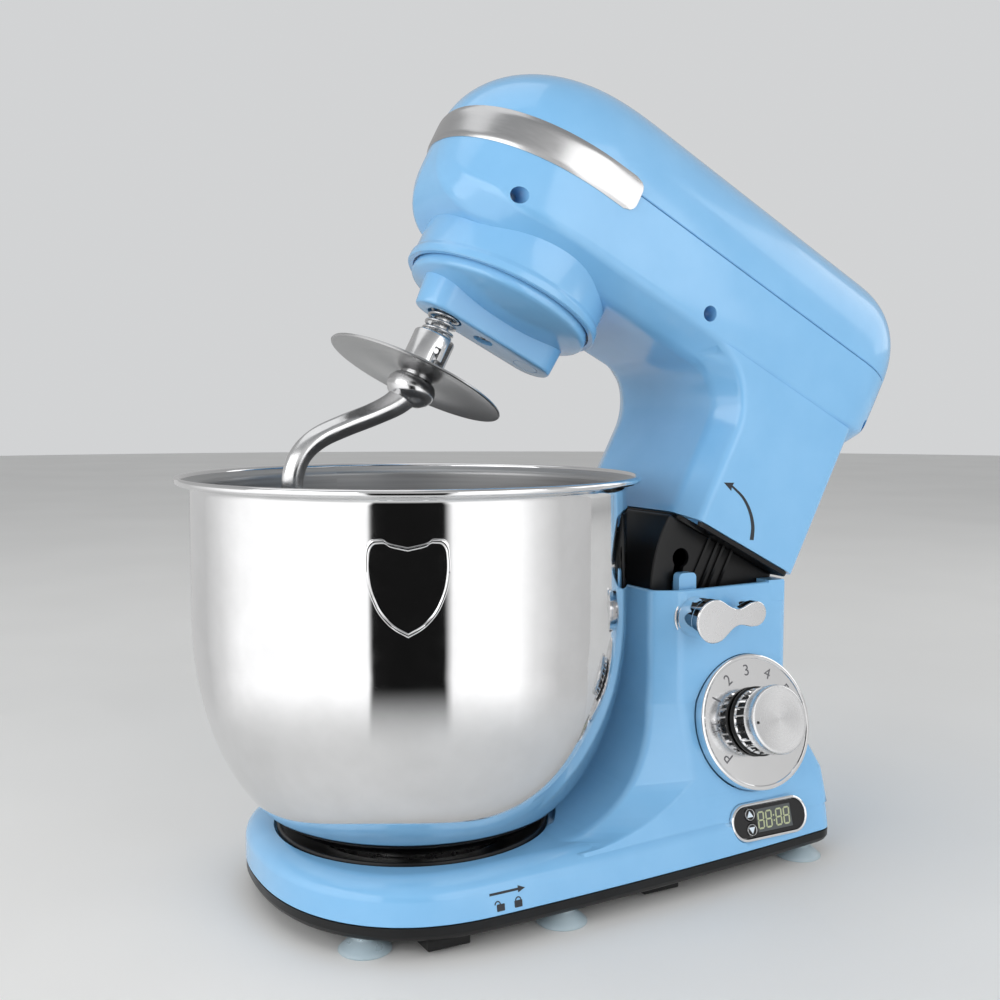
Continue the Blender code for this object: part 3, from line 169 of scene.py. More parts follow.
def prism(name, outline, low, high, axis="Z"):
    """Extrude an outline: (x, y) along Z, (y, z) along X or (x, z) along Y."""
    place = {"Z": lambda p, h: (p[0], p[1], h),
        "X": lambda p, h: (h, p[0], p[1]),
        "Y": lambda p, h: (p[0], h, p[1])}[axis]
    return loft(name, [[place(p, low) for p in outline], [place(p, high) for p in outline]])


def box(name, low, high):
    outline = [(low[0], low[1]), (high[0], low[1]), (high[0], high[1]), (low[0], high[1])]
    return prism(name, outline, low[2], high[2])


def arc(centre, radius, start, end, steps):
    """Points round a centre, from one angle to another in degrees."""
    return [polar(radius, radians(start + (end - start) * i / steps), centre) for i in range(steps + 1)]


def circle(centre, radius, count=32):
    return arc(centre, radius, 0, 360 - 360 / count, count - 1)


def across(side, near, far):
    """The two ends in x of something between near and far on one side."""
    return sorted((side * near, side * far))


def rotation(angle, axis="Z"):
    return Matrix.Rotation(radians(angle), 4, axis)


def stadium(half, radius, steps=16):
    return arc((half, 0.0), radius, -90, 90, steps) + arc((-half, 0.0), radius, 90, 270, steps)


def capsule(half, near, far, steps=24):
    """A slot outline along -x and +x whose two ends have their own radii, near at -x."""
    tangent = degrees(acos((near - far) / (2 * half)))
    return (arc((half, 0.0), far, -tangent, tangent, steps)
        + arc((-half, 0.0), near, tangent, 360 - tangent, steps))


def rounded(points, radius, steps=5, closed=False):
    """A polyline with its corners rounded. radius is one number, or one per point."""
    points = [Vector(p) for p in points]
    radii = radius if hasattr(radius, "__len__") else [radius] * len(points)
    out = []
    for i, corner in enumerate(points):
        if not closed and i in (0, len(points) - 1):
            out.append(corner)
            continue
        before, after = points[i - 1] - corner, points[(i + 1) % len(points)] - corner
        a = corner + before * min(0.45, radii[i] / max(before.length, 1e-9))
        b = corner + after * min(0.45, radii[i] / max(after.length, 1e-9))
        for k in range(steps + 1):
            t = k / steps
            out.append(a * (1 - t) ** 2 + corner * 2 * t * (1 - t) + b * t * t)
    return [tuple(p) for p in out]


def turn(obj, matrix):
    obj.data.transform(matrix)
    if matrix.determinant() < 0:
        obj.data.flip_normals()
    return obj


def boolean(obj, others, operation, crease=35):
    for other in others:
        modifier = obj.modifiers.new("cut", "BOOLEAN")
        modifier.operation = operation
        modifier.solver = "EXACT"
        modifier.object = other
    apply(obj)
    for other in others:
        bpy.data.objects.remove(other, do_unlink=True)
    return shaded(obj, crease)


def cut(obj, *tools):
    return boolean(obj, tools, "DIFFERENCE")


def join(obj, *tools):
    return boolean(obj, tools, "UNION")


def evaluated(obj):
    graph = bpy.context.evaluated_depsgraph_get()
    graph.update()
    return bpy.data.meshes.new_from_object(obj.evaluated_get(graph))


def apply(obj):
    mesh = evaluated(obj)
    obj.modifiers.clear()
    obj.data = mesh
    return obj


def bevelled(obj, width, segments=3, angle=38):
    modifier = obj.modifiers.new("edges", "BEVEL")
    modifier.width = width
    modifier.segments = segments
    modifier.limit_method = "ANGLE"
    modifier.angle_limit = radians(angle)
    modifier.harden_normals = True
    modifier.miter_outer = "MITER_ARC"
    obj.data.shade_smooth()
    return apply(obj)


def weighted(obj):
    """Let the big flat faces set the shading, so that the small faces round them take the bend."""
    modifier = obj.modifiers.new("normals", "WEIGHTED_NORMAL")
    modifier.keep_sharp = True
    modifier.weight = 100
    return apply(obj)


def quarter(t, power):
    return max(0.0, 1.0 - min(1.0, max(0.0, t)) ** power) ** (1.0 / power)


def mirrored(half):
    return half + [(-x, y) for x, y in reversed(half) if x > 1e-6]


# ---- materials
class Graph:
    """The shader nodes of a material or a world."""

    def __init__(self, owner):
        owner.use_nodes = True
        self.nodes, self.links = owner.node_tree.nodes, owner.node_tree.links

    def plug(self, value, socket):
        if isinstance(value, bpy.types.NodeSocket):
            self.links.new(value, socket)
        else:
            socket.default_value = value

    def add(self, kind, inputs=None, **settings):
        """A new node with its settings, and with values or other nodes' outputs as its inputs."""
        node = self.nodes.new("ShaderNode" + kind)
        for key, value in settings.items():
            setattr(node, key, value)
        for socket, value in (inputs or {}).items():
            self.plug(value, node.inputs[socket])
        return node

    def maths(self, operation, *values):
        return self.add("Math", dict(enumerate(values)), operation=operation).outputs[0]

    def spread(self, value, low, high, start=0.0, end=1.0, **settings):
        """Map low..high to start..end."""
        inputs = {"Value": value, "From Min": low, "From Max": high, "To Min": start, "To Max": end}
        return self.add("MapRange", inputs, **settings).outputs["Result"]

    def ramp(self, value, stops):
        """Colour over value, from stops of (position, colour)."""
        node = self.add("ValToRGB", {"Fac": value})
        elements = node.color_ramp.elements
        while len(elements) > 1:
            elements.remove(elements[-1])
        for k, (spot, colour) in enumerate(stops):
            element = elements.new(spot) if k else elements[0]
            element.position = spot
            element.color = (*colour, 1.0)
        return node.outputs["Color"]

    def mix(self, share, a, b):
        inputs = {"Factor": share, "A": a, "B": b}
        return self.add("Mix", inputs, data_type="RGBA").outputs["Result"]


class Finish(Graph):
    """A Principled material whose colour, roughness and relief come from procedural nodes."""

    def __init__(self, name, metallic=0.0, **sockets):
        self.material = bpy.data.materials.new(name)
        super().__init__(self.material)
        self.shader = self.nodes["Principled BSDF"].inputs
        self.shader["Metallic"].default_value = metallic
        for socket, value in sockets.items():
            self.shader[socket.replace("_", " ")].default_value = value
        self.place = self.add("TexCoord").outputs["Object"]

    def round_about(self, around, outwards, along):
        """Coordinates for lines turned about the piece's own Z axis."""
        x, y, z = self.add("SeparateXYZ", {0: self.place}).outputs
        squares = [self.maths("POWER", value, 2.0) for value in (x, y)]
        radius = self.maths("SQRT", self.maths("ADD", *squares))
        scaled = ((self.maths("ARCTAN2", y, x), around), (radius, outwards), (z, along))
        parts = [self.maths("MULTIPLY", value, scale) for value, scale in scaled]
        return self.add("CombineXYZ", dict(enumerate(parts))).outputs[0]

    def noise(self, scale, detail=3.0, vector=None):
        inputs = {"Scale": scale, "Detail": detail, "Vector": vector or self.place}
        return self.add("TexNoise", inputs).outputs["Fac"]

    def colour(self, value, dark, light):
        self.plug(self.ramp(value, [(0.3, dark), (0.7, light)]), self.shader["Base Color"])

    def rough(self, value, low, high):
        self.plug(self.spread(value, 0.3, 0.7, low, high), self.shader["Roughness"])

    def relief(self, value, strength, depth):
        bump = self.add("Bump", {"Strength": strength, "Distance": depth, "Height": value})
        self.plug(bump.outputs["Normal"], self.shader["Normal"])
        return self

    def spun(self):
        """Brushed round the piece's own Z axis, so highlights fan out from it."""
        tangent = self.add("Tangent", direction_type="RADIAL", axis="Z")
        self.plug(tangent.outputs["Tangent"], self.shader["Tangent"])
        return self


def plastic(name, dark, light, rough, grain, strength, **sockets):
    made = Finish(name, **sockets)
    made.colour(made.noise(38.0), dark, light)
    made.rough(made.noise(95.0), rough - 0.03, rough + 0.05)
    return made.relief(made.noise(grain, 2.0), strength, 0.0002)


def metal(name, dark, light, rough, spread, grain=420.0, strength=0.03, **sockets):
    made = Finish(name, metallic=1.0, **sockets)
    made.colour(made.noise(60.0), dark, light)
    made.rough(made.noise(140.0), rough, rough + spread)
    return made.relief(made.noise(grain, 3.0), strength, 0.0001)


def turned_metal(name, dark, light, rough, spread, lines, **sockets):
    """Metal with fine lines turned about its own axis. lines: how dense across them."""
    made = Finish(name, metallic=1.0, **sockets)
    track = made.round_about(1.2, lines, lines)
    streaks = made.noise(1.0, 4.0, track)
    made.colour(streaks, dark, light)
    made.rough(streaks, rough, rough + spread)
    made.relief(streaks, 0.01, 0.000005)
    return made.spun()


def materials():
    grey = lambda a, b: ((a, a, a * 1.005), (b, b, b * 1.008))
    made = {
        "blue": plastic("light_blue_shell", (0.215, 0.5, 0.815), (0.24, 0.53, 0.845), 0.17, 2600.0, 0.03,
                        Coat_Weight=0.35, Coat_Roughness=0.08, Specular_IOR_Level=0.5),
        "black": plastic("black_satin_plastic", (0.003, 0.003, 0.0035), (0.006, 0.006, 0.0065), 0.34,
                         3200.0, 0.12, Specular_IOR_Level=0.35),
        "gloss": plastic("black_gloss_panel", (0.006, 0.006, 0.007), (0.01, 0.01, 0.011), 0.09,
                         900.0, 0.02),
        "ink": plastic("printed_ink", (0.012, 0.015, 0.022), (0.02, 0.024, 0.033), 0.45, 1500.0, 0.05),
        "mark": plastic("grey_print", (0.1, 0.1, 0.11), (0.15, 0.15, 0.16), 0.45, 1500.0, 0.05),
        "rubber": plastic("clear_blue_rubber", (0.52, 0.66, 0.74), (0.6, 0.73, 0.8), 0.3, 500.0, 0.06,
                          Transmission_Weight=0.35, IOR=1.42),
        "steel": metal("fastener_steel", *grey(0.5, 0.62), 0.22, 0.1),
        "chrome": metal("polished_chrome", *grey(0.8, 0.86), 0.035, 0.03, strength=0.01),
        "satin": metal("satin_silver", *grey(0.72, 0.75), 0.26, 0.03, 900.0, 0.002),
        "plate": metal("polished_dial", *grey(0.77, 0.79), 0.1, 0.03, 1800.0, 0.01),
        "spun": turned_metal("spun_aluminium", *grey(0.74, 0.77), 0.26, 0.03, 9000.0, Anisotropic=0.9),
        "mirror": metal("mirror_steel", *grey(0.72, 0.77), 0.045, 0.03, 90.0, 0.012),
        # Inside of the bowl: the brushed lines are real, but the lowered colour and metallic are painted
        # shade.
        "brushed": turned_metal("brushed_steel_painted_shade", *grey(0.3, 0.4), 0.3, 0.06, 500.0, Metallic=0.55),
        "band": turned_metal("brushed_trim", *grey(0.54, 0.57), 0.22, 0.04, 900.0, Anisotropic=0.5),
        "cast": metal("cast_aluminium", *grey(0.62, 0.74), 0.13, 0.16, 260.0, 0.22),
        "disc": turned_metal("turned_disc", *grey(0.47, 0.51), 0.22, 0.04, 600.0, Anisotropic=0.6),
        "iron": metal("laminated_iron", *grey(0.2, 0.3), 0.4, 0.15),
        "copper": metal("copper_winding", (0.45, 0.17, 0.07), (0.7, 0.33, 0.16), 0.28, 0.15, 2500.0, 0.3),
        "nylon": plastic("white_nylon", (0.66, 0.64, 0.56), (0.74, 0.72, 0.64), 0.42, 1600.0, 0.08),
        "board": plastic("circuit_board", (0.01, 0.11, 0.045), (0.02, 0.17, 0.075), 0.4, 700.0, 0.1),
        "glass": plastic("screen_grey", (0.075, 0.085, 0.088), (0.09, 0.1, 0.104), 0.12, 700.0, 0.01),
        "digit": plastic("screen_digit", (0.42, 0.46, 0.27), (0.48, 0.52, 0.31), 0.35, 900.0, 0.02),
        "icon": plastic("button_icon", (0.66, 0.76, 0.86), (0.74, 0.83, 0.9), 0.3, 900.0, 0.02),
    }
    return {key: finish.material for key, finish in made.items()}


LOOKS = materials()
TURNED = ("plate", "spun", "brushed", "band", "disc")


def show(obj, body, place, slot, *looks, stands_for=()):
    """Dress a piece, put it in place and tie it to its body. A turned finish keeps its own axis."""
    # Clearing the materials resets every face, so what paint() chose is put back.
    painted = [face.material_index for face in obj.data.polygons]
    obj.data.materials.clear()
    for look in looks:
        obj.data.materials.append(LOOKS[look])
    obj.data.polygons.foreach_set("material_index", [min(index, len(looks) - 1) for index in painted])
    if set(looks) & set(TURNED):
        obj.matrix_world = place
    else:
        obj.data.transform(place)
    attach(obj, body)
    if stands_for:
        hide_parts(*stands_for)
    return obj


def paint(obj, index, test):
    """Give a second look to the faces whose centre and normal pass the test."""
    for face in obj.data.polygons:
        if test(face.center, face.normal):
            face.material_index = index
    return obj


# ---- base
def foot_half(y):
    if y < 0:
        return BASE_HALF * quarter(-y / BASE_FRONT, 2.3)
    return BASE_HALF - 0.02 * y - 0.22 * y * y


def footprint(inset, lean=0.0):
    """The base's outline, moved in by inset, and by lean more at its sides."""
    front = [-BASE_FRONT * cos(radians(a)) for a in range(0, 91, 3)]
    rear = COLUMN_REAR_Y + REAR_SPREAD
    half = []
    for y in front:
        k = (BASE_FRONT - inset) / BASE_FRONT
        side = foot_half(y) - (inset + lean * (1 + y / BASE_FRONT)) * (foot_half(y) / BASE_HALF)
        half.append((max(0.0, side), y * k))
    half += [(foot_half(y) - inset - lean, y) for y in [0.012 * i for i in range(1, 17)]]
    corner = 0.012
    side = foot_half(rear - corner) - inset - lean
    half += arc((side - corner, rear - inset - corner), corner, 0, 90, 10)
    half.append((0.0, rear - inset))
    return mirrored(half)


def slab(name, inset, low, top):
    """The low part of the base: upright at the foot, softly rounded over at the deck."""
    levels = [(low, 0.0004), (low + 0.0004, 0.0)]
    levels += [(top - 0.009 * (1 - sin(a)), 0.0125 * (1 - cos(a)))
        for a in (radians(9 * k) for k in range(11))]
    rings = []
    for z, round_in in levels:
        lean = SLOPE * max(0.0, z - SPLIT_Z) * 0.6
        rings.append([(x, y, z) for x, y in footprint(inset + round_in, lean)])
    return loft(name, rings, crease=50)


def column_ring(z, inset):
    """Horizontal section of the column and of the shoulders that run into it."""
    side = 0.06 + SLOPE * max(0.0, SHOULDER_Z - z)
    sweep = min(1.0, max(0.0, (0.106 - z) / 0.07))
    front = 0.045 + 0.069 * sqrt(1 - sweep ** 2)
    low = min(1.0, max(0.0, (z - 0.034) / 0.022))
    corner_y = max(0.05 + 0.079 * sqrt(low), front + 0.006)
    rear = COLUMN_REAR_Y + REAR_SPREAD * min(1.0, max(0.0, (0.085 - z) / 0.037))

    def wall(y):
        return side - 0.07 * (y - 0.172)

    inner_x = min(0.054 + 0.018 * sweep, wall(front) - 0.01)
    half = [(0.0, front + inset), (inner_x, front + inset),
        (wall(corner_y) - inset, corner_y + inset * 0.4),
        (wall(rear) - inset, rear - inset), (0.0, rear - inset)]
    half = rounded(half, [0, 0.0035, 0.003, 0.009, 0], 7)
    return [(x, y, z) for x, y in mirrored(half)]


def column(name, inset, low, high):
    sweep = [0.106 - 0.07 * cos(radians(a)) for a in range(0, 91, 5)]
    corner = [0.034 + 0.022 * (k / 14) ** 2 for k in range(15)]
    kinks = [0.0795, 0.0825, 0.085, 0.0875, SHOULDER_Z]
    levels = sorted(z for z in sweep + corner + kinks if low < z < high - 0.002)
    kept = [low]
    for z in levels:
        if z - kept[-1] > 0.0003:
            kept.append(z)
    rings = [column_ring(z, inset) for z in kept]
    if inset:
        return loft(name, rings + [column_ring(high, inset)], crease=28)
    top = [(high - 0.0012, 0.0), (high - 0.0005, 0.0003), (high, 0.001)]
    return loft(name, rings + [column_ring(z, add) for z, add in top], crease=28)


def base_housing():
    """Slab and column in one hollow shell, with the bowl's well, hinge ears, tabs and openings."""
    body = join(slab("base_shell", 0.0, SPLIT_Z, DECK_Z), column("outer", 0.0, 0.03, COLUMN_TOP))
    body = cut(body, slab("hollow", SHELL, SPLIT_Z - 0.001, DECK_Z - SHELL),
        column("shaft", SHELL, 0.0285, COLUMN_TOP + 0.001))
    seat = turned("seat", [(0.06, 0.027), (0.0775, 0.027), (0.0775, DECK_Z - 0.001),
        (0.06, DECK_Z - 0.001)], 96)
    body = join(body, seat)
    well = [(0.0, 0.01), (0.0667, 0.01), (0.0667, 0.033), (0.072, 0.033), (0.0723, 0.035),
        (0.0735, 0.0364), (0.076, 0.0372), (0.076, 0.05), (0.0, 0.05)]
    body = cut(body, turn(turned("well", well, 128), rotation(1.3)))
    ears = [box("ear", (0.048, 0.1915, 0.1445), (0.0585, 0.2025, 0.1563)),
        box("ear", (-0.0585, 0.1915, 0.1445), (-0.048, 0.2025, 0.1563))]
    body = join(body, *ears, *guide_tabs())
    bore = prism("bore", circle((HINGE_Y, HINGE_Z), 0.0025), -0.0575, 0.0575, "X")
    shaft = prism("latch_bore", circle((LEVER_Y, LEVER_Z), LATCH_R + 0.0003), -0.0575, 0.08, "X")
    back = BENCH.inverted()
    dial_hole = turn(rod("dial_hole", DIAL_R + 0.0004, -0.0105, 0.04, 96), back @ leaning(DIAL))
    steps = ((-0.012, 0.0019), (-0.0025, 0.0019), (-0.0025, -0.0003), (0.02, -0.0003))
    window = loft("window", [[(x, y, z) for x, y in stadium(TIMER_HALF, TIMER_R - less)]
        for z, less in steps])
    turn(window, back @ leaning(TIMER))
    gland = prism("gland", circle(GLAND, 0.0072), COLUMN_REAR_Y, COLUMN_REAR_Y + 0.03, "Y")
    body = cut(body, bore, shaft, dial_hole, window, gland)
    return shaded(body, 26)


def guide_tabs():
    """Two upright tabs beside the skirt, on the column's side walls."""
    made = []
    for side in (1, -1):
        outline = [(0.132, 0.13), (0.1435, 0.13), (0.1435, 0.1637), (0.132, 0.1637)]
        outline = rounded(outline, [0.0002, 0.0002, 0.0032, 0.0032], 6, closed=True)
        tab = prism("tab", outline, *across(side, 0.05, 0.0555), "X")
        low, high = across(side, 0.0535, 0.0605)
        made += [bevelled(tab, 0.0009, 3, 50), box("tab_root", (low, 0.1337, 0.132),
            (high, 0.1423, 0.15))]
    return made


def base_plate():
    """Black tray under the base, with four low blocks beneath it, foot holes and vents."""
    tray = loft("base_tray", [[(x, y, z) for x, y in footprint(inset)] for z, inset in
        ((PLATE_Z, 0.004), (PLATE_Z + 0.0006, 0.0024), (PLATE_Z + 0.0018, 0.001),
        (PLATE_Z + 0.0036, 0.0002), (SPLIT_Z - 0.0004, 0.0001))], crease=50)
    hollow = loft("hollow", [[(x, y, PLATE_Z + 0.003) for x, y in footprint(0.0032)],
        [(x, y, SPLIT_Z + 0.01) for x, y in footprint(0.0032)]])
    tray = cut(tray, hollow)
    blocks = []
    for side in (1, -1):
        for x, y in ((0.079, -0.02), (0.072, 0.105)):
            block = box("block", (side * x - 0.008, y - 0.011, 0.0025),
                (side * x + 0.008, y + 0.011, 0.01))
            blocks.append(bevelled(block, 0.0008, 2))
    holes = [rod("foot_hole", 0.0049, 0.0, 0.03, 24, spot) for spot in BASE_FEET]
    ribs = [prism("vent", rounded([(-0.03, y), (0.03, y), (0.03, y + 0.003), (-0.03, y + 0.003)],
        0.0014, 4, closed=True), 0.0, 0.012)
        for y in [0.12 + 0.008 * k for k in range(7)]]
    return cut(join(tray, *blocks), *holes, *ribs)


def suction_foot(name):
    profile = [(0.0, 0.0032), (0.006, 0.0032), (0.0085, 0.0022), (0.0104, 0.0), (0.0122, 0.0),
        (0.0126, 0.0003), (0.0126, 0.0009), (0.0112, 0.0022), (0.0088, 0.0042), (0.0066, 0.0058),
        (0.006, 0.0064), (0.006, PLATE_Z - 0.0003), (0.0044, PLATE_Z - 0.0003), (0.0044, 0.0115),
        (0.0058, 0.0118), (0.0053, 0.0132), (0.004, 0.0145), (0.0, 0.0145)]
    return turned(name, profile, 64, crease=50)


def bayonet(inner, outer, low, high):
    """Three lugs, by which the bowl's foot twists into its socket."""
    lugs = []
    for angle in (90, 210, 330):
        outline = arc((0, 0), inner, angle - 14, angle + 14, 10)
        outline += arc((0, 0), outer, angle + 14, angle - 14, 10)
        lugs.append(prism("lug", outline, low, high))
    return lugs


def lock_ring():
    profile = [(0.01, 0.0215), (0.055, 0.0215), (0.055, 0.029), (0.0663, 0.0333), (0.0712, 0.0333),
        (0.0715, 0.0337), (0.0715, 0.0362), (0.0711, 0.0368), (0.0704, 0.037), (0.0694, 0.0362),
        (0.0686, 0.0352), (0.06, 0.0329), (0.0525, 0.0312), (0.0525, 0.024), (0.01, 0.024)]
    return join(turned("bowl_socket", profile, 128), *bayonet(0.0488, 0.0535, 0.028, 0.0305))


def cord_gland():
    profile = [(0.0038, -0.006), (0.0068, -0.006), (0.0068, 0.0003), (0.0095, 0.0003), (0.0095, 0.0016),
        (0.0091, 0.002), (0.0074, 0.0024), (0.0066, 0.0036), (0.0062, 0.0055), (0.0056, 0.006),
        (0.0042, 0.006), (0.0038, 0.0056)]
    gland = turned("cord_gland_bush", profile, 48)
    spot = Matrix.Translation((GLAND[0], COLUMN_REAR_Y + REAR_SPREAD, GLAND[1]))
    return turn(gland, spot @ rotation(-90, "X"))


def show_base():
    shell = weighted(base_housing())
    show(lock_marks(shell), "base", BENCH, "black_plastic", "ink")
    show(shell, "base", BENCH, "blue_shell", "blue", stands_for=["base_housing"])
    show(base_plate(), "base", BENCH, "black_plastic", "black", stands_for=["base_plate"])
    names = ["front", "middle", "rear"]
    for i, (x, y) in enumerate(BASE_FEET):
        word = f"{names[i // 2]}_{'right' if x > 0 else 'left'}"
        show(suction_foot("soft_foot_" + word), "base", BENCH @ Matrix.Translation((x, y, 0.0)),
            "foot_rubber", "rubber", stands_for=["suction_foot_" + word])
    show(lock_ring(), "base", BENCH, "black_plastic", "black", stands_for=["bowl_lock_ring"])
    show(cord_gland(), "base", BENCH, "black_plastic", "black", stands_for=["cord_gland"])


# ---- printed marks
def sheet(name, outlines, lift, thick=0.00012):
    """Flat islands in the (x, y) plane, each a thin slab at height lift."""
    verts, faces = [], []
    for outline in outlines:
        n, start = len(outline), len(verts)
        verts += [(x, y, lift) for x, y in outline] + [(x, y, lift + thick) for x, y in outline]
        faces += [[start + i, start + (i + 1) % n, start + n + (i + 1) % n, start + n + i]
            for i in range(n)]
        faces += [[start + i for i in range(n)], [start + n + i for i in range(n)]]
    return solid(name, verts, faces)


def ribbon(points, widths):
    """The outline of a line with a varying width."""
    left, right = [], []
    for i, p in enumerate(points):
        along = (Vector(points[min(i + 1, len(points) - 1)]) - Vector(points[max(i - 1, 0)])).normalized()
        side = Vector((-along.y, along.x)) * widths[i] / 2
        left.append(tuple(Vector(p) + side))
        right.append(tuple(Vector(p) - side))
    return left + right[::-1]


def curve_through(points, per_span=6):
    """Catmull-Rom points through a plane route."""
    out = []
    for i in range(len(points) - 1):
        p = [Vector(points[max(0, min(len(points) - 1, i + k))]) for k in (-1, 0, 1, 2)]
        for s in range(per_span):
            t = s / per_span
            out.append(0.5 * ((2 * p[1]) + (p[2] - p[0]) * t
                + (2 * p[0] - 5 * p[1] + 4 * p[2] - p[3]) * t * t
                + (3 * p[1] - p[0] - 3 * p[2] + p[3]) * t ** 3))
    return out + [Vector(points[-1])]


def tilt_arrow():
    """Curved arrow on the neck that says the head tips up."""
    route = curve_through([(0.1669, 0.1665), (0.164, 0.1735), (0.158, 0.18), (0.15, 0.1846),
        (0.1402, 0.1867)])
    widths = [0.0027 - 0.0016 * i / (len(route) - 1) for i in range(len(route))]
    tip = [(0.1345, 0.186), (0.1409, 0.189), (0.1404, 0.1866), (0.1411, 0.1842)]
    arrow = sheet("tilt_arrow", [ribbon(route, widths), tip], 0.0)
    side = Matrix(((0, 0, 1, NECK_HALF + 0.00002), (1, 0, 0, 0), (0, 1, 0, 0), (0, 0, 0, 1)))
    return turn(arrow, side)


def lock_marks(shell):
    """Arrow with an open and a closed padlock on the base's side, laid on the shell."""
    def strip(points, width):
        return ribbon(points, [width] * len(points))

    def padlock(y, z, opened):
        shift = -0.0016 if opened else 0.0
        body = rounded([(y - 0.0021, z - 0.0016), (y + 0.0021, z - 0.0016), (y + 0.0021, z + 0.0016),
            (y - 0.0021, z + 0.0016)], 0.0004, 3, closed=True)
        bow = [(a + shift, b) for a, b in arc((y, z + 0.0016), 0.0014, 0, 180, 10)]
        return [body, strip([tuple(p) for p in bow], 0.00055)]

    line = [(-0.002 + 0.0017 * k, 0.0262) for k in range(10)]
    head = [(0.0172, 0.0262), (0.0133, 0.0246), (0.0133, 0.0278)]
    outlines = ([strip(line, 0.0011), head]
        + padlock(0.0035, 0.0196, True) + padlock(0.013, 0.0196, False))
    marks = sheet("lock_marks", outlines, 0.0)
    tree = BVHTree.FromPolygons([v.co.copy() for v in shell.data.vertices],
        [tuple(p.vertices) for p in shell.data.polygons])
    for vertex in marks.data.vertices:
        y, z, lift = vertex.co
        hit = tree.ray_cast(Vector((0.2, y, z)), Vector((-1.0, 0.0, 0.0)))[0]
        vertex.co = (hit.x + 0.00003 + lift, y, z)
    return shaded(marks)


def lettering(name, words, size, lift, thick=0.00012):
    """Generic figures as thin raised print. words: (text, x, y, turn in degrees)."""
    made = []
    for text, x, y, angle in words:
        curve = bpy.data.curves.new(name, "FONT")
        curve.body = text
        curve.size = size
        curve.align_x = "CENTER"
        curve.align_y = "CENTER"
        curve.extrude = thick / 2
        curve.resolution_u = 6
        holder = placed(name, curve)
        mesh = evaluated(holder)
        mesh.transform(Matrix.Translation((x, y, lift + thick / 2)) @ rotation(angle))
        bpy.data.objects.remove(holder, do_unlink=True)
        made.append(mesh)
    bm = bmesh.new()
    for mesh in made:
        bm.from_mesh(mesh)
    bmesh.ops.remove_doubles(bm, verts=bm.verts, dist=1e-6)
    return meshed(name, bm)


# ---- dial, knob and timer
def dial_plate():
    profile = [(0.0075, -0.003), (0.034, -0.003), (0.0345, -0.0098), (DIAL_R - 0.0003, -0.0098),
        (DIAL_R, -0.0012), (DIAL_R - 0.0002, -0.0004), (DIAL_R - 0.0008, 0.0), (0.0352, 0.0001),
        (0.0346, -0.0001), (0.0343, -0.0005), (0.0341, -0.0007), (0.033, -0.0007), (0.0075, -0.0007)]
    return turned("dial_face", profile, 160, crease=30)


def show_dial():
    spot = leaning(DIAL)
    plate = paint(dial_plate(), 1, lambda c, n: hypot(c.x, c.y) > 0.0338 or c.z < -0.0009)
    show(plate, "base", spot, "chrome_trim", "plate", "chrome", stands_for=["dial_plate"])
    at = [(149, "1"), (121, "2"), (92, "3"), (62, "4"), (33, "5"), (-144, "P")]
    words = [(text, *polar(0.0278, radians(a)), a - 90) for a, text in at]
    show(lettering("dial_figures", words, 0.0086, -0.00072), "base", spot, "black_plastic", "mark")
    ticks = [ribbon([polar(r, radians(a)) for r in (0.0245, 0.03)], [0.0005] * 2) for a in (176, 184)]
    show(sheet("dial_ticks", ticks, -0.00072), "base", spot, "black_plastic", "mark")
    show(knob_skirt(), "knob", spot, "knob_metal", "chrome", "black", stands_for=["speed_knob"])
    show(knob_cap(), "knob", spot, "knob_metal", "spun", "satin")
    dot = turned("knob_dot", [(0.0, KNOB_RISE - 0.0003), (0.0008, KNOB_RISE - 0.0003),
        (0.0008, KNOB_RISE + 0.0001), (0.0, KNOB_RISE + 0.0001)], 24, (-0.0148, 0.0))
    show(dot, "knob", spot, "black_plastic", "gloss")


def knob_cap():
    profile = [(0.0, 0.0108), (0.0174, 0.0108), (0.018, 0.0112), (KNOB_R, 0.012),
        (KNOB_R, KNOB_RISE - 0.0011), (KNOB_R - 0.0003, KNOB_RISE - 0.0004), (KNOB_R - 0.0009, KNOB_RISE),
        (KNOB_R - 0.0014, KNOB_RISE + 0.0001), (0.016, KNOB_RISE - 0.0001), (0.009, KNOB_RISE - 0.0003),
        (0.003, KNOB_RISE - 0.0004), (0.0, KNOB_RISE - 0.0004)]
    cap = turned("knob_cap", profile, 160, crease=30)
    return paint(cap, 1, lambda c, n: n.z < 0.5)


def knob_skirt():
    """Grip with dark flutes between bright ribs, over a dark foot ring."""
    ribs, steps = 24, 12
    levels = ((0.0004, 0.0186, 0.0), (0.002, 0.0188, 0.0), (0.0024, 0.0186, 0.0), (0.0026, 0.0178, 0.0),
        (0.003, 0.0177, 0.0), (0.0034, 0.0177, 0.55), (0.004, 0.0177, 1.0), (0.0098, 0.0175, 1.0),
        (0.0103, 0.0175, 0.55), (0.0106, 0.0175, 0.0), (0.0108, 0.0168, 0.0))
    rings = []
    for z, radius, depth in levels:
        ring = []
        for i in range(ribs * steps):
            t = (i % steps) / steps
            flute = min(1.0, max(0.0, (0.5 - abs(t - 0.5) - 0.1) / 0.1))
            r = radius - 0.0016 * depth * flute
            ring.append((*polar(r, 2 * pi * i / (ribs * steps)), z))
        rings.append(ring)
    skirt = loft("knob_grip", rings, crease=50)

    def dark(c, n):
        t = (atan2(c.y, c.x) / (2 * pi) * ribs) % 1.0
        inside = 0.14 < t < 0.86 and 0.0033 < c.z < 0.0104
        return inside or c.z < 0.0027
    return paint(skirt, 1, dark)


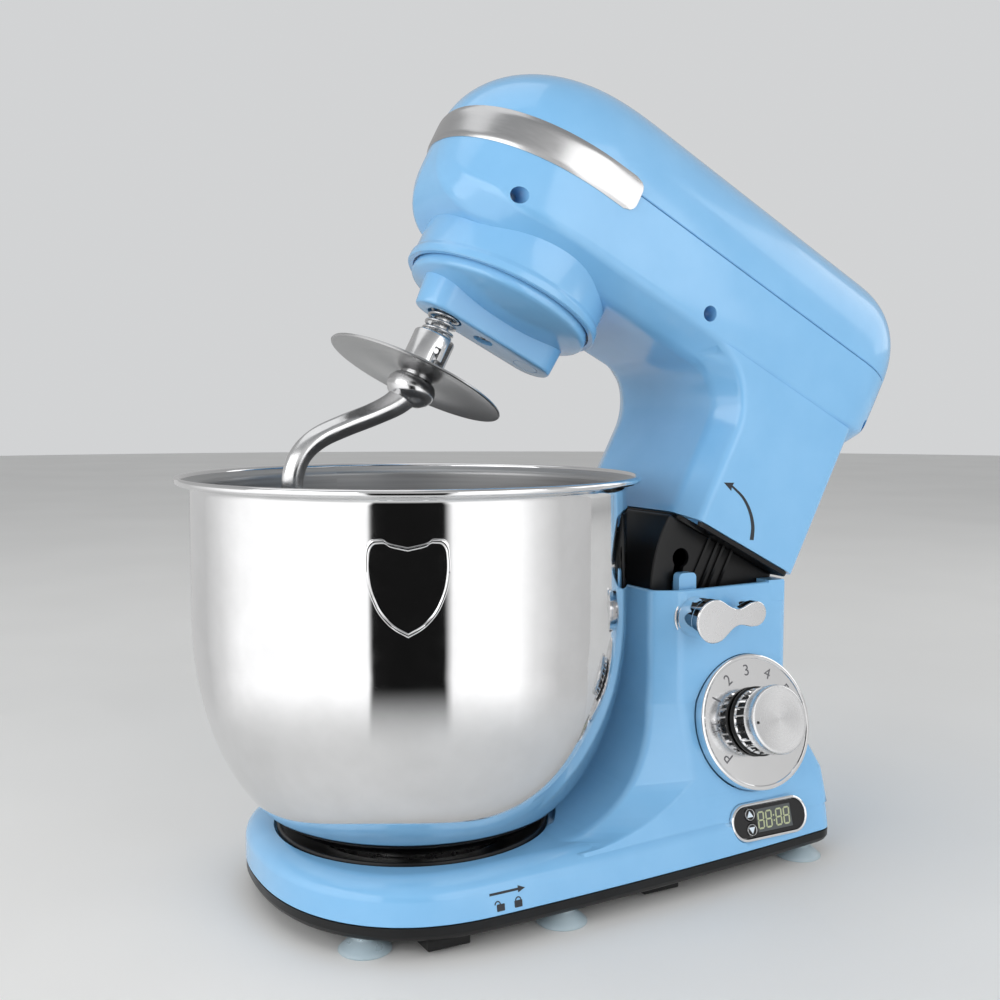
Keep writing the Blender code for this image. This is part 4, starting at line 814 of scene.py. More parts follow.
def show_timer():
    spot = leaning(TIMER)
    rows = ((-0.008, 0.0022), (-0.0022, 0.0022), (-0.0022, 0.0), (0.0006, 0.0), (0.0012, 0.0003),
        (0.0015, 0.0009), (0.0013, 0.0015), (0.0008, 0.0018), (-0.0014, 0.0018), (-0.0014, 0.003),
        (-0.008, 0.003))
    bezel = loft("timer_frame", [[(x, y, z) for x, y in stadium(TIMER_HALF, TIMER_R - less, 24)]
        for z, less in rows], closed=True)
    show(bezel, "base", spot, "chrome_trim", "chrome", stands_for=["timer_bezel"])
    panel = prism("timer_face", stadium(TIMER_HALF, TIMER_R - 0.002, 24), -0.0011, 0.001)
    holes = [rod("hole", BUTTON_R + 0.0003, -0.01, 0.01, 32, (BUTTON_X, v))
        for v in (BUTTON_V, -BUTTON_V)]
    window = box("window", (-0.009, -0.0062, 0.0004), (0.0152, 0.0062, 0.01))
    panel = cut(panel, *holes, window)
    show(panel, "base", spot, "black_plastic", "gloss", stands_for=["timer_panel"])
    screen = box("timer_window", (-0.0089, -0.0061, 0.0002), (0.0151, 0.0061, 0.00085))
    show(screen, "base", spot, "lcd_glass", "glass", stands_for=["timer_screen"])
    show(digits(), "base", spot, "lcd_glass", "digit")
    for word, v, up in (("up", BUTTON_V, 1), ("down", -BUTTON_V, -1)):
        place = leaning(TIMER) @ Matrix.Translation((BUTTON_X, v, 0.0))
        cap = turned(f"timer_key_{word}", [(0.0, -0.004), (BUTTON_R - 0.0002, -0.004),
            (BUTTON_R - 0.0002, 0.0012), (BUTTON_R - 0.0004, 0.0015), (BUTTON_R - 0.0007, 0.0014),
            (BUTTON_R - 0.0009, 0.0012), (0.0, 0.0012)], 48)
        paint(cap, 1, lambda c, n: n.z > 0.7 and hypot(c.x, c.y) < BUTTON_R - 0.0007)
        show(cap, f"{word}_button", place, "black_plastic", "steel", "gloss",
            stands_for=[f"timer_{word}_button"])
        shape = rounded([(-0.0021, -0.0014 * up), (0.0021, -0.0014 * up), (0.0, 0.002 * up)], 0.0002, 3,
            closed=True)
        show(sheet(f"timer_icon_{word}", [shape], 0.00121), f"{word}_button", place, "black_plastic",
            "icon")


def digits():
    """Four figures of seven bars each, with a colon."""
    islands = []
    high, wide, bar, skew = 0.0042, 0.0036, 0.00085, 0.08

    def bar_at(x, y, dx, dy):
        length = Vector((dx, dy)).length
        along = Vector((dx, dy)) / length
        side = Vector((-along.y, along.x)) * bar / 2
        a, b = Vector((x, y)) + along * 0.00012, Vector((x + dx, y + dy)) - along * 0.00012
        tip = along * bar / 2
        shape = [a, a + tip + side, b - tip + side, b, b - tip - side, a + tip - side]
        islands.append([(p.x + skew * p.y, p.y) for p in shape])
    for left in (-0.0078, -0.0024, 0.0045, 0.0099):
        for y in (-high, 0.0, high):
            bar_at(left, y, wide, 0.0)
        for x in (left, left + wide):
            bar_at(x, -high, 0.0, high)
            bar_at(x, 0.0, 0.0, high)
    for y in (-0.0014, 0.0014):
        islands.append([(px + 0.0029, py + y) for px, py in
            ((-0.0004, -0.0004), (0.0004, -0.0004), (0.0004, 0.0004), (-0.0004, 0.0004))])
    return sheet("timer_digits", islands, 0.00086, 0.00006)


# ---- lever
def lock_lever():
    """Dog-bone grip on a round boss, along +Y from its pivot."""
    big, small, reach = 0.0116, 0.0068, 0.0276

    def half_height(s):
        if s < 0.0035:
            return sqrt(max(0.0, big ** 2 - s ** 2))
        if s > reach - 0.0015:
            return sqrt(max(0.0, small ** 2 - (s - reach) ** 2))
        t = (s - 0.0035) / (reach - 0.005)
        ends = 0.01106 * (1 - t) + 0.00663 * t
        return ends - 0.0042 * sin(pi * t) ** 1.6

    steps = 60
    along = [-big + (big + reach + small) * 0.5 * (1 - cos(pi * i / steps)) for i in range(steps + 1)]
    upper = [(s, half_height(s)) for s in along]
    outline = upper + [(s, -h) for s, h in reversed(upper[1:-1])]
    grip = bevelled(prism("lever_grip", outline, 0.0742, 0.08, "X"), 0.0009, 4, 60)
    rise = Matrix.Rotation(LEVER_RISE, 4, "X")
    boss = bevelled(prism("boss", circle((0, 0), 0.0113, 64), 0.0625, 0.0746, "X"), 0.0004, 2, 60)
    knob = prism("knob", circle((reach, 0), 0.0058, 48), 0.0675, 0.0746, "X")
    lever = join(turn(grip, rise), boss, turn(knob, rise))
    return paint(weighted(lever), 1, lambda c, n: n.x > 0.93 and c.x > 0.079)


def show_lever():
    place = BENCH @ Matrix.Translation((0.0, LEVER_Y, LEVER_Z))
    show(lock_lever(), "lever", place, "chrome_trim", "chrome", "satin", stands_for=["lock_lever"])
    washer = prism("lever_collar", circle((LEVER_Y, LEVER_Z), 0.0126, 64), 0.059, 0.0618, "X")
    show(bevelled(washer, 0.0004, 2, 60), "base", BENCH, "chrome_trim", "chrome")


# ---- bowl
def bowl_radius(z):
    if z >= BOWL_KNEE:
        return BOWL_R
    return FLOOR_R + (BOWL_R - FLOOR_R) * quarter((BOWL_KNEE - z) / (BOWL_KNEE - BOWL_FLOOR_Z), 2.0)


def bowl():
    heights = [BOWL_FLOOR_Z + (BOWL_KNEE - BOWL_FLOOR_Z) * (1 - cos(radians(3 * k))) for k in range(31)]
    outer = [(0.0, BOWL_FLOOR_Z)] + [(bowl_radius(z), z) for z in heights]
    inner = [(0.0, BOWL_FLOOR_Z + BOWL_SHEET)]
    inner += [(bowl_radius(z) - BOWL_SHEET, max(z, BOWL_FLOOR_Z + BOWL_SHEET) + 0.0004) for z in heights]
    neck = RIM_Z - 0.012
    flare = [(BOWL_R, neck)] + rounded([(BOWL_R, neck + 0.001), (BOWL_R, RIM_Z - 0.0034),
        (RIM_R - 0.0014, RIM_Z - 0.0014)], 0.0024, 8)[1:]
    outer += flare
    inner += [(r - BOWL_SHEET, z + 0.0008) for r, z in flare[:-1]]
    rim = arc((RIM_R, RIM_Z), RIM_TUBE, -120, 175, 22)
    return turned("mixing_bowl", outer + rim + inner[:0:-1] + [inner[0]], 192, crease=40)


def badge():
    """Plain shield pressed on the bowl, with a raised border."""
    half = [(0.0, -0.0216), (0.007, -0.0178), (0.013, -0.011), (0.0172, -0.001), (0.0186, 0.009),
        (0.018, 0.0175), (0.016, 0.0206), (0.0105, 0.0209), (0.0085, 0.019), (0.0, 0.0172)]
    half = rounded(half, [0, 0.004, 0.004, 0.004, 0.004, 0.002, 0.0016, 0.0012, 0.003, 0], 6)
    outline = half + [(-s, h) for s, h in reversed(half[1:-1])]
    middle, height = radians(-24.5), 0.1752
    rings = []
    for scale, lift in ((1.02, -0.0006), (1.02, 0.0001), (1.005, 0.0008), (0.985, 0.0011),
            (0.955, 0.0011), (0.935, 0.0008), (0.92, 0.0003), (0.6, 0.0003), (0.3, 0.0003),
            (0.0, 0.0003)):
        points = []
        for s, h in (outline if scale else [(0.0, 0.0)]):
            points.append((*polar(BOWL_R + lift, middle + s * scale / BOWL_R), height + h * scale))
        rings.append(points)
    return loft("bowl_badge", rings, crease=40)


def bowl_foot():
    profile = [(0.044, FOOT_Z), (FOOT_R - 0.0004, FOOT_Z), (FOOT_R, FOOT_Z + 0.0004),
        (FOOT_R, BOWL_FLOOR_Z - 0.0003), (0.044, BOWL_FLOOR_Z - 0.0003)]
    return join(turned("bowl_base_ring", profile, 96), *bayonet(0.046, 0.0513, 0.0248, 0.0275))


def inside_bowl(centre, normal):
    away = hypot(centre.x, centre.y)
    outwards = normal.x * centre.x + normal.y * centre.y
    inner = normal.z > 0 or away > BOWL_R - 0.0011 or outwards < -0.0001
    return inner and outwards < 0.0001 and away < RIM_R - 0.003


def show_bowl():
    # The inside faces get the brushed steel, whose darker tone is painted shade for the inside of the
    # bowl.
    made = paint(bowl(), 1, inside_bowl)
    show(made, "bowl", BENCH, "bowl_steel", "mirror", "brushed", stands_for=["bowl"])
    show(badge(), "bowl", BENCH, "bowl_steel", "chrome")
    show(bowl_foot(), "bowl", BENCH, "bowl_steel", "steel", stands_for=["bowl_foot"])


# ---- head
def taper(y, front, nose_power, rear, tail_power):
    """Share of the full size at y, which rounds off in front of one station and behind another."""
    if y < front:
        return quarter((front - y) / (front - NOSE_Y), nose_power)
    return quarter((y - rear) / (TAIL_Y - rear), tail_power)


def head_half(y):
    return HEAD_HALF * taper(y, 0.0, 2.1, 0.19, 2.6)


def head_crown(y):
    return CROWN * taper(y, 0.024, 2.25, 0.19, 2.3)


def head_belly(y):
    return BELLY * taper(y, 0.0, 4, 0.17, 3.2)


BELLY_LINE = rounded([(1.0, 0.0), (1.0, 0.4), (0.985, 0.745), (0.7, 1.0), (0.0, 1.0)],
    [0, 0.3, 0.075, 0.1, 0], 9)


def belly_half(depth):
    """Share of the half width that is left at a share of the depth, under the parting line."""
    for (xa, za), (xb, zb) in zip(BELLY_LINE, BELLY_LINE[1:]):
        if za <= depth <= zb and zb > za:
            return xa + (xb - xa) * (depth - za) / (zb - za)
    return BELLY_LINE[0][0] if depth <= 0 else 0.0


def stations():
    front = [NOSE_Y + (0.03 - NOSE_Y) * (1 - cos(radians(a))) for a in range(3, 91, 3)]
    middle = [0.03 + 0.0125 * k for k in range(1, 12)]
    rear = [TAIL_Y - (TAIL_Y - 0.18) * (1 - cos(radians(a))) for a in range(3, 91, 3)]
    return front + middle + rear[::-1]


def upper_section(y):
    wide, tall, steps, edge = head_half(y), head_crown(y), 56, 0.0005
    low = HEAD_SPLIT + 0.0002
    ring = [(max(wide - edge, wide * 0.5), low)]
    for i in range(steps + 1):
        angle = pi * i / steps
        c, s = cos(angle), sin(angle)
        x = wide * copysign(abs(c) ** (2 / CROWN_POWER), c)
        ring.append((x, low + min(edge, tall * 0.4) + tall * abs(s) ** (2 / CROWN_POWER)
            * (1 - edge / CROWN)))
    ring.append((-ring[0][0], ring[0][1]))
    return [(x, y, z) for x, z in ring]


def lower_section(y):
    wide, tall, edge = head_half(y), head_belly(y), 0.0005
    top = HEAD_SPLIT - 0.0002
    side = top - min(edge, tall * 0.3)
    right = [(max(wide - edge, wide * 0.5), top), (wide, side)]
    right += [(wide * x, side - tall * z * (1 - edge / BELLY)) for x, z in BELLY_LINE[1:-1]]
    right.append((0.0, top - tall))
    return [(x, y, z) for x, z in mirrored(right)]


def head_solid(name, section, tip_z):
    rings = [[(0.0, NOSE_Y, tip_z)]] + [section(y) for y in stations()] + [[(0.0, TAIL_Y, tip_z)]]
    return loft(name, rings, crease=38)


def belly_depth(share):
    """Share of the depth at which the belly is down to a share of its half width."""
    for (xa, za), (xb, zb) in zip(BELLY_LINE, BELLY_LINE[1:]):
        if xb <= share <= xa and xa > xb:
            return za + (zb - za) * (xa - share) / (xa - xb)
    return 1.0


def swept(x, z):
    """How far forward the neck's front has come at height z, on its way to meet the belly over x."""
    radius = HEAD_SPLIT + 0.0003 - BELLY * belly_depth(x / HEAD_HALF) - SWEEP_Z
    rise = min(1.0, max(0.0, (z - SWEEP_Z) / radius))
    return radius * (1 - sqrt(1 - rise ** 2))


def neck_ring(z, inset):
    """Horizontal section of the neck, with its front swept forward under the head."""
    front, side, rear = NECK_FRONT + inset, NECK_HALF - inset, NECK_REAR - inset
    half = rounded([(0.0, front), (0.0435, front), (side, front + 0.008), (side, rear), (0.0, rear)],
        [0, 0.004, 0.004, 0.007, 0], 9)
    half = [(x, y - swept(x, z) if y < front + 0.02 else y) for x, y in half]
    return [(x, y, z) for x, y in mirrored(half)]


def head_lower():
    """The head under its parting line, with the neck, the gearbox's mouth and the screw recesses."""
    axis = (0.0, AXIS_Y)
    shell = head_solid("head_lower_shell", lower_section, HEAD_SPLIT - 0.0004)
    levels = [NECK_FOOT, SWEEP_Z] + [SWEEP_Z + 0.0395 * sin(radians(4 * k)) for k in range(1, 23)]
    neck = loft("neck", [neck_ring(z, 0.0) for z in levels], crease=28)
    gearbox = [(0.0, LIP_Z), (LIP_R - 0.0006, LIP_Z), (LIP_R, LIP_Z + 0.0006), (LIP_R, LIP_Z + 0.0036),
        (LIP_R - 0.0002, LIP_Z + 0.0046), (LIP_R - 0.001, LIP_Z + 0.0058), (0.0531, LIP_Z + 0.0072),
        (0.053, 0.262), (0.0, 0.262)]
    shell = join(shell, neck, turned("gearbox", gearbox, 128, axis, 40))
    mouth = turned("mouth", [(0.0, LIP_Z - 0.001), (CARRIER_R + 0.001, LIP_Z - 0.001),
        (CARRIER_R + 0.001, LIP_Z + 0.0045), (0.0, LIP_Z + 0.005)], 96, axis)
    holes = []
    for face, y, z in HEAD_SCREWS:
        for side in (1, -1):
            ends = across(side, face - SCREW_SINK, face + 0.02)
            holes.append(prism("hole", circle((y, z), 0.0042, 40), *ends, "X"))
    # Recesses under the neck, for the base's guide tabs when the head is closed.
    for side in (1, -1):
        low, high = across(side, 0.0485, 0.0575)
        holes.append(box("tab_room", (low, 0.13, 0.155), (high, 0.1455, 0.166)))
    return shaded(cut(shell, mouth, *holes), 30)


def contour(z, out, count=40):
    """The head's outline at height z, moved outwards by out, from side to side round the nose."""
    above = abs(z - HEAD_SPLIT)
    depth = head_crown if z > HEAD_SPLIT else head_belly
    low, high = NOSE_Y, 0.0
    for _ in range(40):
        middle = (low + high) / 2
        low, high = (middle, high) if depth(middle) < above else (low, middle)
    tip = high
    corner = 0.006
    over = max(0.0, abs(z - (TRIM_LOW + TRIM_HIGH) / 2) - ((TRIM_HIGH - TRIM_LOW) / 2 - corner))
    end = TRIM_END - (corner - sqrt(max(0.0, corner ** 2 - over ** 2)))
    half = []
    for i in range(count + 1):
        y = tip + (end - tip) * (1 - cos(pi * i / (2 * count)))
        share = above / max(depth(y), 1e-6)
        wide = head_half(y) * (quarter(share, CROWN_POWER) if z > HEAD_SPLIT else belly_half(share))
        half.append(Vector((wide, y)))
    line = [Vector((-p.x, p.y)) for p in reversed(half[1:])] + half
    moved = []
    for i, point in enumerate(line):
        along = line[min(i + 1, len(line) - 1)] - line[max(i - 1, 0)]
        moved.append(point + Vector((along.y, -along.x)).normalized() * out)
    return [(p.x, p.y, z) for p in moved]


def trim_band():
    rows = [TRIM_LOW + (TRIM_HIGH - TRIM_LOW) * k / 14 for k in range(15)]
    swell = [0.0004 if k in (0, 14) else 0.0008 if k in (1, 13) else 0.001 for k in range(15)]
    outer = [contour(z, out) for z, out in zip(rows, swell)]
    inner = [contour(z, -0.0006) for z in reversed(rows)]
    lines = outer + inner
    rings = [[line[i] for line in lines] for i in range(len(lines[0]))]
    return loft("nose_band", rings, crease=40)


def neck_skirt():
    """Black slotted skirt that follows the neck down into the column, about the hinge."""
    flange = loft("skirt_shell", [[(x, y, z) for x, y, _ in neck_ring(NECK_FOOT, inset)]
        for z, inset in ((0.1586, 0.0022), (0.159, 0.0016), (NECK_FOOT - 0.0003, 0.0014))])
    flange = cut(flange, box("notch", (0.0485, 0.12, 0.15), (0.0575, 0.145, 0.17)),
        box("notch", (-0.0575, 0.12, 0.15), (-0.0485, 0.145, 0.17)),
        box("back", (-0.07, 0.2005, 0.15), (0.07, 0.22, 0.17)))
    body = bevelled(prism("body", sector(SKIRT_R, 0.0), -SKIRT_HALF, SKIRT_HALF, "X"), 0.0012, 3, 60)
    room = prism("room", sector(SKIRT_R - 0.0028, 0.01), -SKIRT_HALF + 0.0026, SKIRT_HALF - 0.0026, "X")
    body = cut(body, room)
    ribs = []
    for side in (1, -1):
        for y in (0.149, 0.1555, 0.16, 0.1665):
            low = HINGE_Z - sqrt(max(0.0, 0.0765 ** 2 - (HINGE_Y - y) ** 2))
            ends = across(side, SKIRT_HALF - 0.001, SKIRT_HALF + 0.001)
            low = max(low, HINGE_Z - (HINGE_Y - 0.003 - y) * tan(SKIRT_ANGLE))
            ribs.append(box("rib", (ends[0], y, low), (ends[1], y + 0.0016, 0.1588)))
        ears = across(side, SKIRT_HALF - 0.0026, SKIRT_HALF)
        ribs.append(prism("knuckle", circle((HINGE_Y, HINGE_Z), 0.0042, 32), *ears, "X"))
    skirt = join(flange, body, *ribs)
    bore = prism("bore", circle((HINGE_Y, HINGE_Z), 0.0025), -0.06, 0.06, "X")
    return cut(skirt, bore, *latch_slots())


def about_hinge(radius, angle):
    """A side-view point in front of the hinge, its angle downwards."""
    return (HINGE_Y - radius * cos(angle), HINGE_Z - radius * sin(angle))


def sector(radius, cut_back):
    """Side view of the skirt: a sector about the hinge under the neck's flange."""
    extra = 0.08 if cut_back else 0.0
    top = asin((0.159 - HINGE_Z + extra * 0.1) / radius)
    points = []
    for i in range(33):
        angle = top - (top + SKIRT_ANGLE + extra) * i / 32
        points.append(about_hinge(radius, -angle))
    if cut_back:
        return points + [(HINGE_Y - cut_back, HINGE_Z - 0.03), (HINGE_Y - cut_back, points[0][1])]
    return points + [(HINGE_Y - 0.002, HINGE_Z - 0.005), (HINGE_Y + 0.001, HINGE_Z),
        (HINGE_Y + 0.001, points[0][1])]


def latch_slots():
    """An arc slot about the hinge with a round end at each of the head's two positions."""
    reach = hypot(HINGE_Y - LEVER_Y, HINGE_Z - LEVER_Z)
    start = atan2(HINGE_Z - LEVER_Z, HINGE_Y - LEVER_Y)
    half = LATCH_FLAT + 0.0003
    angles = [start + TILT * i / 24 for i in range(25)]
    outer = [about_hinge(reach + half, a) for a in angles]
    inner = [about_hinge(reach - half, a) for a in angles]
    tools = [prism("slot", outer + inner[::-1], -0.06, 0.06, "X")]
    for a in (angles[0], angles[-1]):
        tools.append(prism("end", circle(about_hinge(reach, a), LATCH_R + 0.0004, 40), -0.06, 0.06, "X"))
    return tools


def cross(reach, half, low, high):
    """The cutters of a cross recess."""
    return [box("slot", (-x, -y, low), (x, y, high)) for x, y in ((reach, half), (half, reach))]


def head_screw(name):
    """Cross-recessed screw along Z, from under its head."""
    profile = [(0.0, -0.002), (0.0014, -0.002), (0.0014, 0.0003), (0.0032, 0.0003), (0.0033, 0.0008),
        (0.003, 0.0018), (0.002, 0.0024), (0.0, 0.0026)]
    return cut(turned(name, profile, 40), *cross(0.0017, 0.00035, 0.0012, 0.01))


def show_head():
    upper = head_solid("head_upper_shell", upper_section, HEAD_SPLIT + 0.0004)
    show(upper, "head", HEAD, "blue_shell", "blue", stands_for=["head_upper_housing"])
    show(head_lower(), "head", HEAD, "blue_shell", "blue", stands_for=["head_lower_housing"])
    show(trim_band(), "head", HEAD, "chrome_trim", "band", stands_for=["trim_band"])
    show(neck_skirt(), "head", HEAD, "black_plastic", "black", stands_for=["neck_skirt"])
    show(tilt_arrow(), "head", HEAD, "black_plastic", "ink")
    for i, (face, y, z) in enumerate(HEAD_SCREWS):
        for side, word in ((1, "right"), (-1, "left")):
            spot = Matrix.Translation((side * (face - SCREW_SINK), y, z))
            place = HEAD @ spot @ rotation(90 * side, "Y")
            show(head_screw(f"shell_screw_{word}_{i + 1}"), "head", place, "fastener_steel", "steel",
                stands_for=[f"head_screw_{word}_{i + 1}"])


# ---- planetary drive and tool
def planet_carrier():
    profile = [(0.0, 0.2105)] + [(0.0475 * k / 12, 0.2105 + 0.0068 * (k / 12) ** 2.2)
        for k in range(1, 13)]
    profile += [(0.0487, 0.2178), (0.0497, 0.2184), (0.0502, 0.219), (CARRIER_R, 0.2199),
        (CARRIER_R, 0.2225), (0.05, 0.2236), (0.0495, 0.2262), (0.0, 0.2262)]
    carrier = turned("planet_cover", profile, 128, crease=45)
    rows = [(BAR_Z, 0.0122, 0.0122), (BAR_Z + 0.0002, 0.0127, 0.0127), (BAR_Z + 0.0007, 0.0132, 0.0132),
        (BAR_Z + 0.0014, 0.0134, 0.0134)]
    rows += [(0.204 + 0.0195 * k / 12, 0.0136 + 0.002 * k / 12, 0.0136 + 0.0014 * k / 12)
        for k in range(13)]
    bar = loft("bar", [[(-y, x, z) for x, y in capsule(0.0295, near, far)] for z, near, far in rows],
        crease=45)
    carrier = join(carrier, bar)
    tool = (0.0, -TOOL_OFFSET)
    plug = turned("plug", [(0.0068, 0.19), (0.0072, 0.19), (0.0072, BAR_Z + 0.0004),
        (0.0068, BAR_Z + 0.0004)], 48, (0.0, 0.029))
    return cut(carrier, rod("seat", 0.0098, 0.19, 0.207, 64, tool),
        rod("bore", 0.0053, 0.19, 0.24, 40, tool), rod("screw", 0.0024, 0.19, 0.24, 24),
        rod("head", 0.0056, 0.19, 0.2045, 48), plug)


def carrier_screw():
    profile = [(0.0, 0.2044), (0.0044, 0.2042), (0.0044, 0.2028), (0.0041, 0.2021), (0.003, 0.2017),
        (0.0, 0.2016)]
    return cut(turned("cover_screw", profile[::-1], 48), *cross(0.0024, 0.0005, 0.19, 0.2026))


def tool_spring():
    """Coil spring between the carrier and the hook's hub, its ends closed flat."""
    turns, wire, radius, per_turn = 5, 0.0008, 0.0078, 40
    low, high = HUB_TOP + 0.0003 + wire, SPRING_TOP - wire
    rings = []
    for i in range(turns * per_turn + 1):
        t = i / (turns * per_turn)
        rise = max(0.0, min(1.0, (t * turns - 0.6) / (turns - 1.2)))
        angle = 2 * pi * turns * t
        out = Vector((cos(angle), sin(angle), 0.0))
        centre = out * radius + Vector((0, 0, low + (high - low) * (0.9 * rise + 0.1 * t)))
        rings.append([tuple(centre + out * wire * cos(b) + Vector((0, 0, wire * sin(b))))
            for b in (pi * k / 5 for k in range(10))])
    return loft("hub_spring", rings, crease=60)


HOOK_PATH = [(0.0, 0.158), (-0.004, 0.148), (-0.012, 0.1375), (-0.024, 0.1245), (-0.033, 0.1135),
    (-0.0375, 0.103), (-0.0375, 0.093), (-0.0335, 0.083), (-0.025, 0.073),
    (-0.013, 0.0645), (0.001, 0.0595), (0.014, 0.0585), (0.024, 0.0625)]


def dough_hook():
    """Hub sleeve, ball and bent rod, cast as one."""
    profile = [(0.0, 0.149), (0.004, 0.1494), (0.008, 0.1508), (0.011, 0.1532), (0.0127, 0.156),
        (0.0131, 0.1585), (0.0127, 0.1606), (0.0115, 0.1628), (0.0098, 0.164), (0.0085, 0.1644),
        (0.0085, 0.1678), (0.0108, 0.1678), (0.0112, 0.1682), (0.0112, 0.1878), (0.0108, 0.1886),
        (0.0102, HUB_TOP), (0.0, HUB_TOP)]
    hub = turned("cast_hook", profile, 64, crease=45)
    route = curve_through(HOOK_PATH, 8)
    rings = []
    count = len(route)
    for i, point in enumerate(route):
        along = (route[min(i + 1, count - 1)] - route[max(i - 1, 0)]).normalized()
        side = Vector((-along.y, along.x))
        fade = i / (count - 1)
        thick = 0.006 - 0.0014 * fade + 0.0022 * max(0.0, 1 - 5 * fade) ** 2
        twist = radians(20 + 50 * fade)
        ring = []
        for k in range(28):
            angle = 2 * pi * k / 28
            c, s = cos(angle), sin(angle)
            u = thick * copysign(abs(c) ** 0.8, c)
            v = 0.92 * thick * copysign(abs(s) ** 0.8, s)
            flat = u * sin(twist) + v * cos(twist)
            ring.append((u * cos(twist) - v * sin(twist), *(point + side * flat)))
        rings.append(ring)
    along = (route[-1] - route[-2]).normalized()
    centre = route[-1]
    for step, scale in ((0.0016, 0.93), (0.0028, 0.75), (0.0036, 0.45)):
        last = rings[count - 1]
        rings.append([(x * scale, centre.x + (y - centre.x) * scale + along.x * step,
            centre.y + (z - centre.y) * scale + along.y * step) for x, y, z in last])
    rings.append([(0.0, centre.x + along.x * 0.0039, centre.y + along.y * 0.0039)])
    hub = join(hub, loft("rod", rings, crease=60))
    slot = box("slot", (-0.02, -0.0018, 0.1722), (0.02, 0.0018, 0.1818))
    entry = turn(box("entry", (-0.02, -0.0018, 0.1722), (0.02, 0.0018, 0.2)), rotation(35))
    sweeps = []
    for half in (0.0, pi):
        wedge = prism("sweep", arc((0, 0), 0.02, 0, 35, 6) + [(0.0, 0.0)], 0.1722, 0.1758)
        sweeps.append(turn(wedge, Matrix.Rotation(half, 4, "Z")))
    return shaded(cut(hub, rod("bore", 0.0053, 0.1625, 0.2, 40), slot, entry, *sweeps), 40)


def hook_disc():
    profile = [(0.0088, 0.1652), (0.03, 0.1652), (0.04, 0.1645), (DISC_R - 0.0012, 0.1634),
        (DISC_R - 0.0004, 0.1633), (DISC_R, 0.1638), (DISC_R - 0.0004, 0.1646), (DISC_R - 0.0014, 0.165),
        (0.04, 0.166), (0.03, 0.1667), (0.0088, 0.1667)]
    return turned("splash_disc", profile, 160, crease=40)


def show_drive():
    show(planet_carrier(), "carrier", PLANET, "blue_shell", "blue", stands_for=["planet_carrier"])
    show(carrier_screw(), "carrier", PLANET, "fastener_steel", "steel", stands_for=["carrier_screw"])
    spring = tool_spring()
    show(spring, "tool", TOOL, "shaft_steel", "steel", stands_for=["tool_spring"])
    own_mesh(spring)
    show(dough_hook(), "hook", TOOL, "hook_metal", "cast", stands_for=["dough_hook"])
    show(hook_disc(), "hook", TOOL, "disc_steel", "disc", stands_for=["hook_disc"])


# ---- CAD nodes that stay
KEPT = {
    "steel": ["hinge_pin", "knob_shaft", "latch_shaft", "tool_shaft", "drive_pin", "planet_shaft",
              "second_axle", "first_axle", "base_screw_1", "base_screw_2", "base_screw_3", "base_screw_4",
              "planet_gear", "motor_pinion"],
    "satin": ["gearbox_plate", "motor_bracket"],
    "nylon": ["ring_gear", "main_gear", "second_gear", "first_gear"],
    "iron": ["motor_stator"],
    "copper": ["motor_rotor"],
    "board": ["timer_board", "control_board"],
    "black": ["rotary_switch"],
}


def dress_kept_nodes():
    for look, names in KEPT.items():
        for name in names:
            node = NODES[name]
            if not node.material_slots:
                node.data.materials.append(LOOKS[look])
            for held in node.material_slots:
                held.material = LOOKS[look]


# ---- stage, light and camera
def floor():
    bm = bmesh.new()
    bmesh.ops.create_circle(bm, cap_ends=True, radius=6.0, segments=96)
    obj = meshed("floor", bm)
    pale = Finish("pale_floor")
    pale.colour(pale.noise(3.0, 2.0), (0.86, 0.86, 0.85), (0.9, 0.9, 0.89))
    pale.rough(pale.noise(12.0), 0.55, 0.7)
    obj.data.materials.append(pale.material)


def area_light(name, spot, target, width, height, energy):
    light = bpy.data.lights.new(name, "AREA")
    light.shape = "RECTANGLE"
    light.size, light.size_y, light.energy = width, height, energy
    obj = placed(name, light)
    obj.location = spot
    obj.rotation_euler = (Vector(target) - Vector(spot)).to_track_quat("-Z", "Y").to_euler()


# The studio's brightness round the horizon: (degrees from +X towards +Y, brightness).
SURROUND = [(-180, 0.62), (-120, 0.7), (-75, 0.9), (-50, 0.95), (0, 0.95), (60, 0.85), (110, 0.6),
    (180, 0.62)]
CEILING, BACKDROP, CEILING_RISE = (0.52, 0.53, 0.54, 1.0), (0.86, 0.87, 0.88, 1.0), (0.45, 0.8)

# The cards' brightness round the bowl, in the same form, and how they stand.
CARDS = [(-170, 0.42), (-140, 0.45), (-124, 0.62), (-108, 0.9), (-73, 1.0), (-46, 1.0), (-42.6, 0.95),
    (-41.0, 0.006), (-9.5, 0.006), (-6.0, 0.9), (-2.0, 1.0), (24, 1.0), (34, 0.7), (48, 0.48),
    (70, 0.42)]
CARD_STEPS, CARD_AWAY, CARD_TOP, CARD_FADE, CARD_GLOW = 80, 0.5, 0.3, (0.2, 0.44), 1.45


def studio():
    """Pale walls and a calmer ceiling. The camera itself sees one plain tone."""
    world = bpy.data.worlds.new("studio")
    bpy.context.scene.world = world
    net = Graph(world)
    x, y, z = net.add("SeparateXYZ", {0: net.add("TexCoord").outputs["Generated"]}).outputs
    share = net.maths("ADD", net.maths("DIVIDE", net.maths("ARCTAN2", y, x), 2 * pi), 0.5)
    walls = net.ramp(share, [(angle / 360 + 0.5, (value,) * 3) for angle, value in SURROUND])
    room = net.mix(net.spread(z, *CEILING_RISE), walls, CEILING)
    seen = net.mix(net.add("LightPath").outputs["Is Camera Ray"], room, BACKDROP)
    background = net.nodes["Background"].inputs
    net.plug(seen, background["Color"])
    net.plug(0.75, background["Strength"])


def round_bowl(angle, away, height):
    """A spot round the bowl's axis, its angle from +X towards +Y."""
    return (*polar(away, radians(angle), (0.0, BOWL_AXIS_Y)), height)


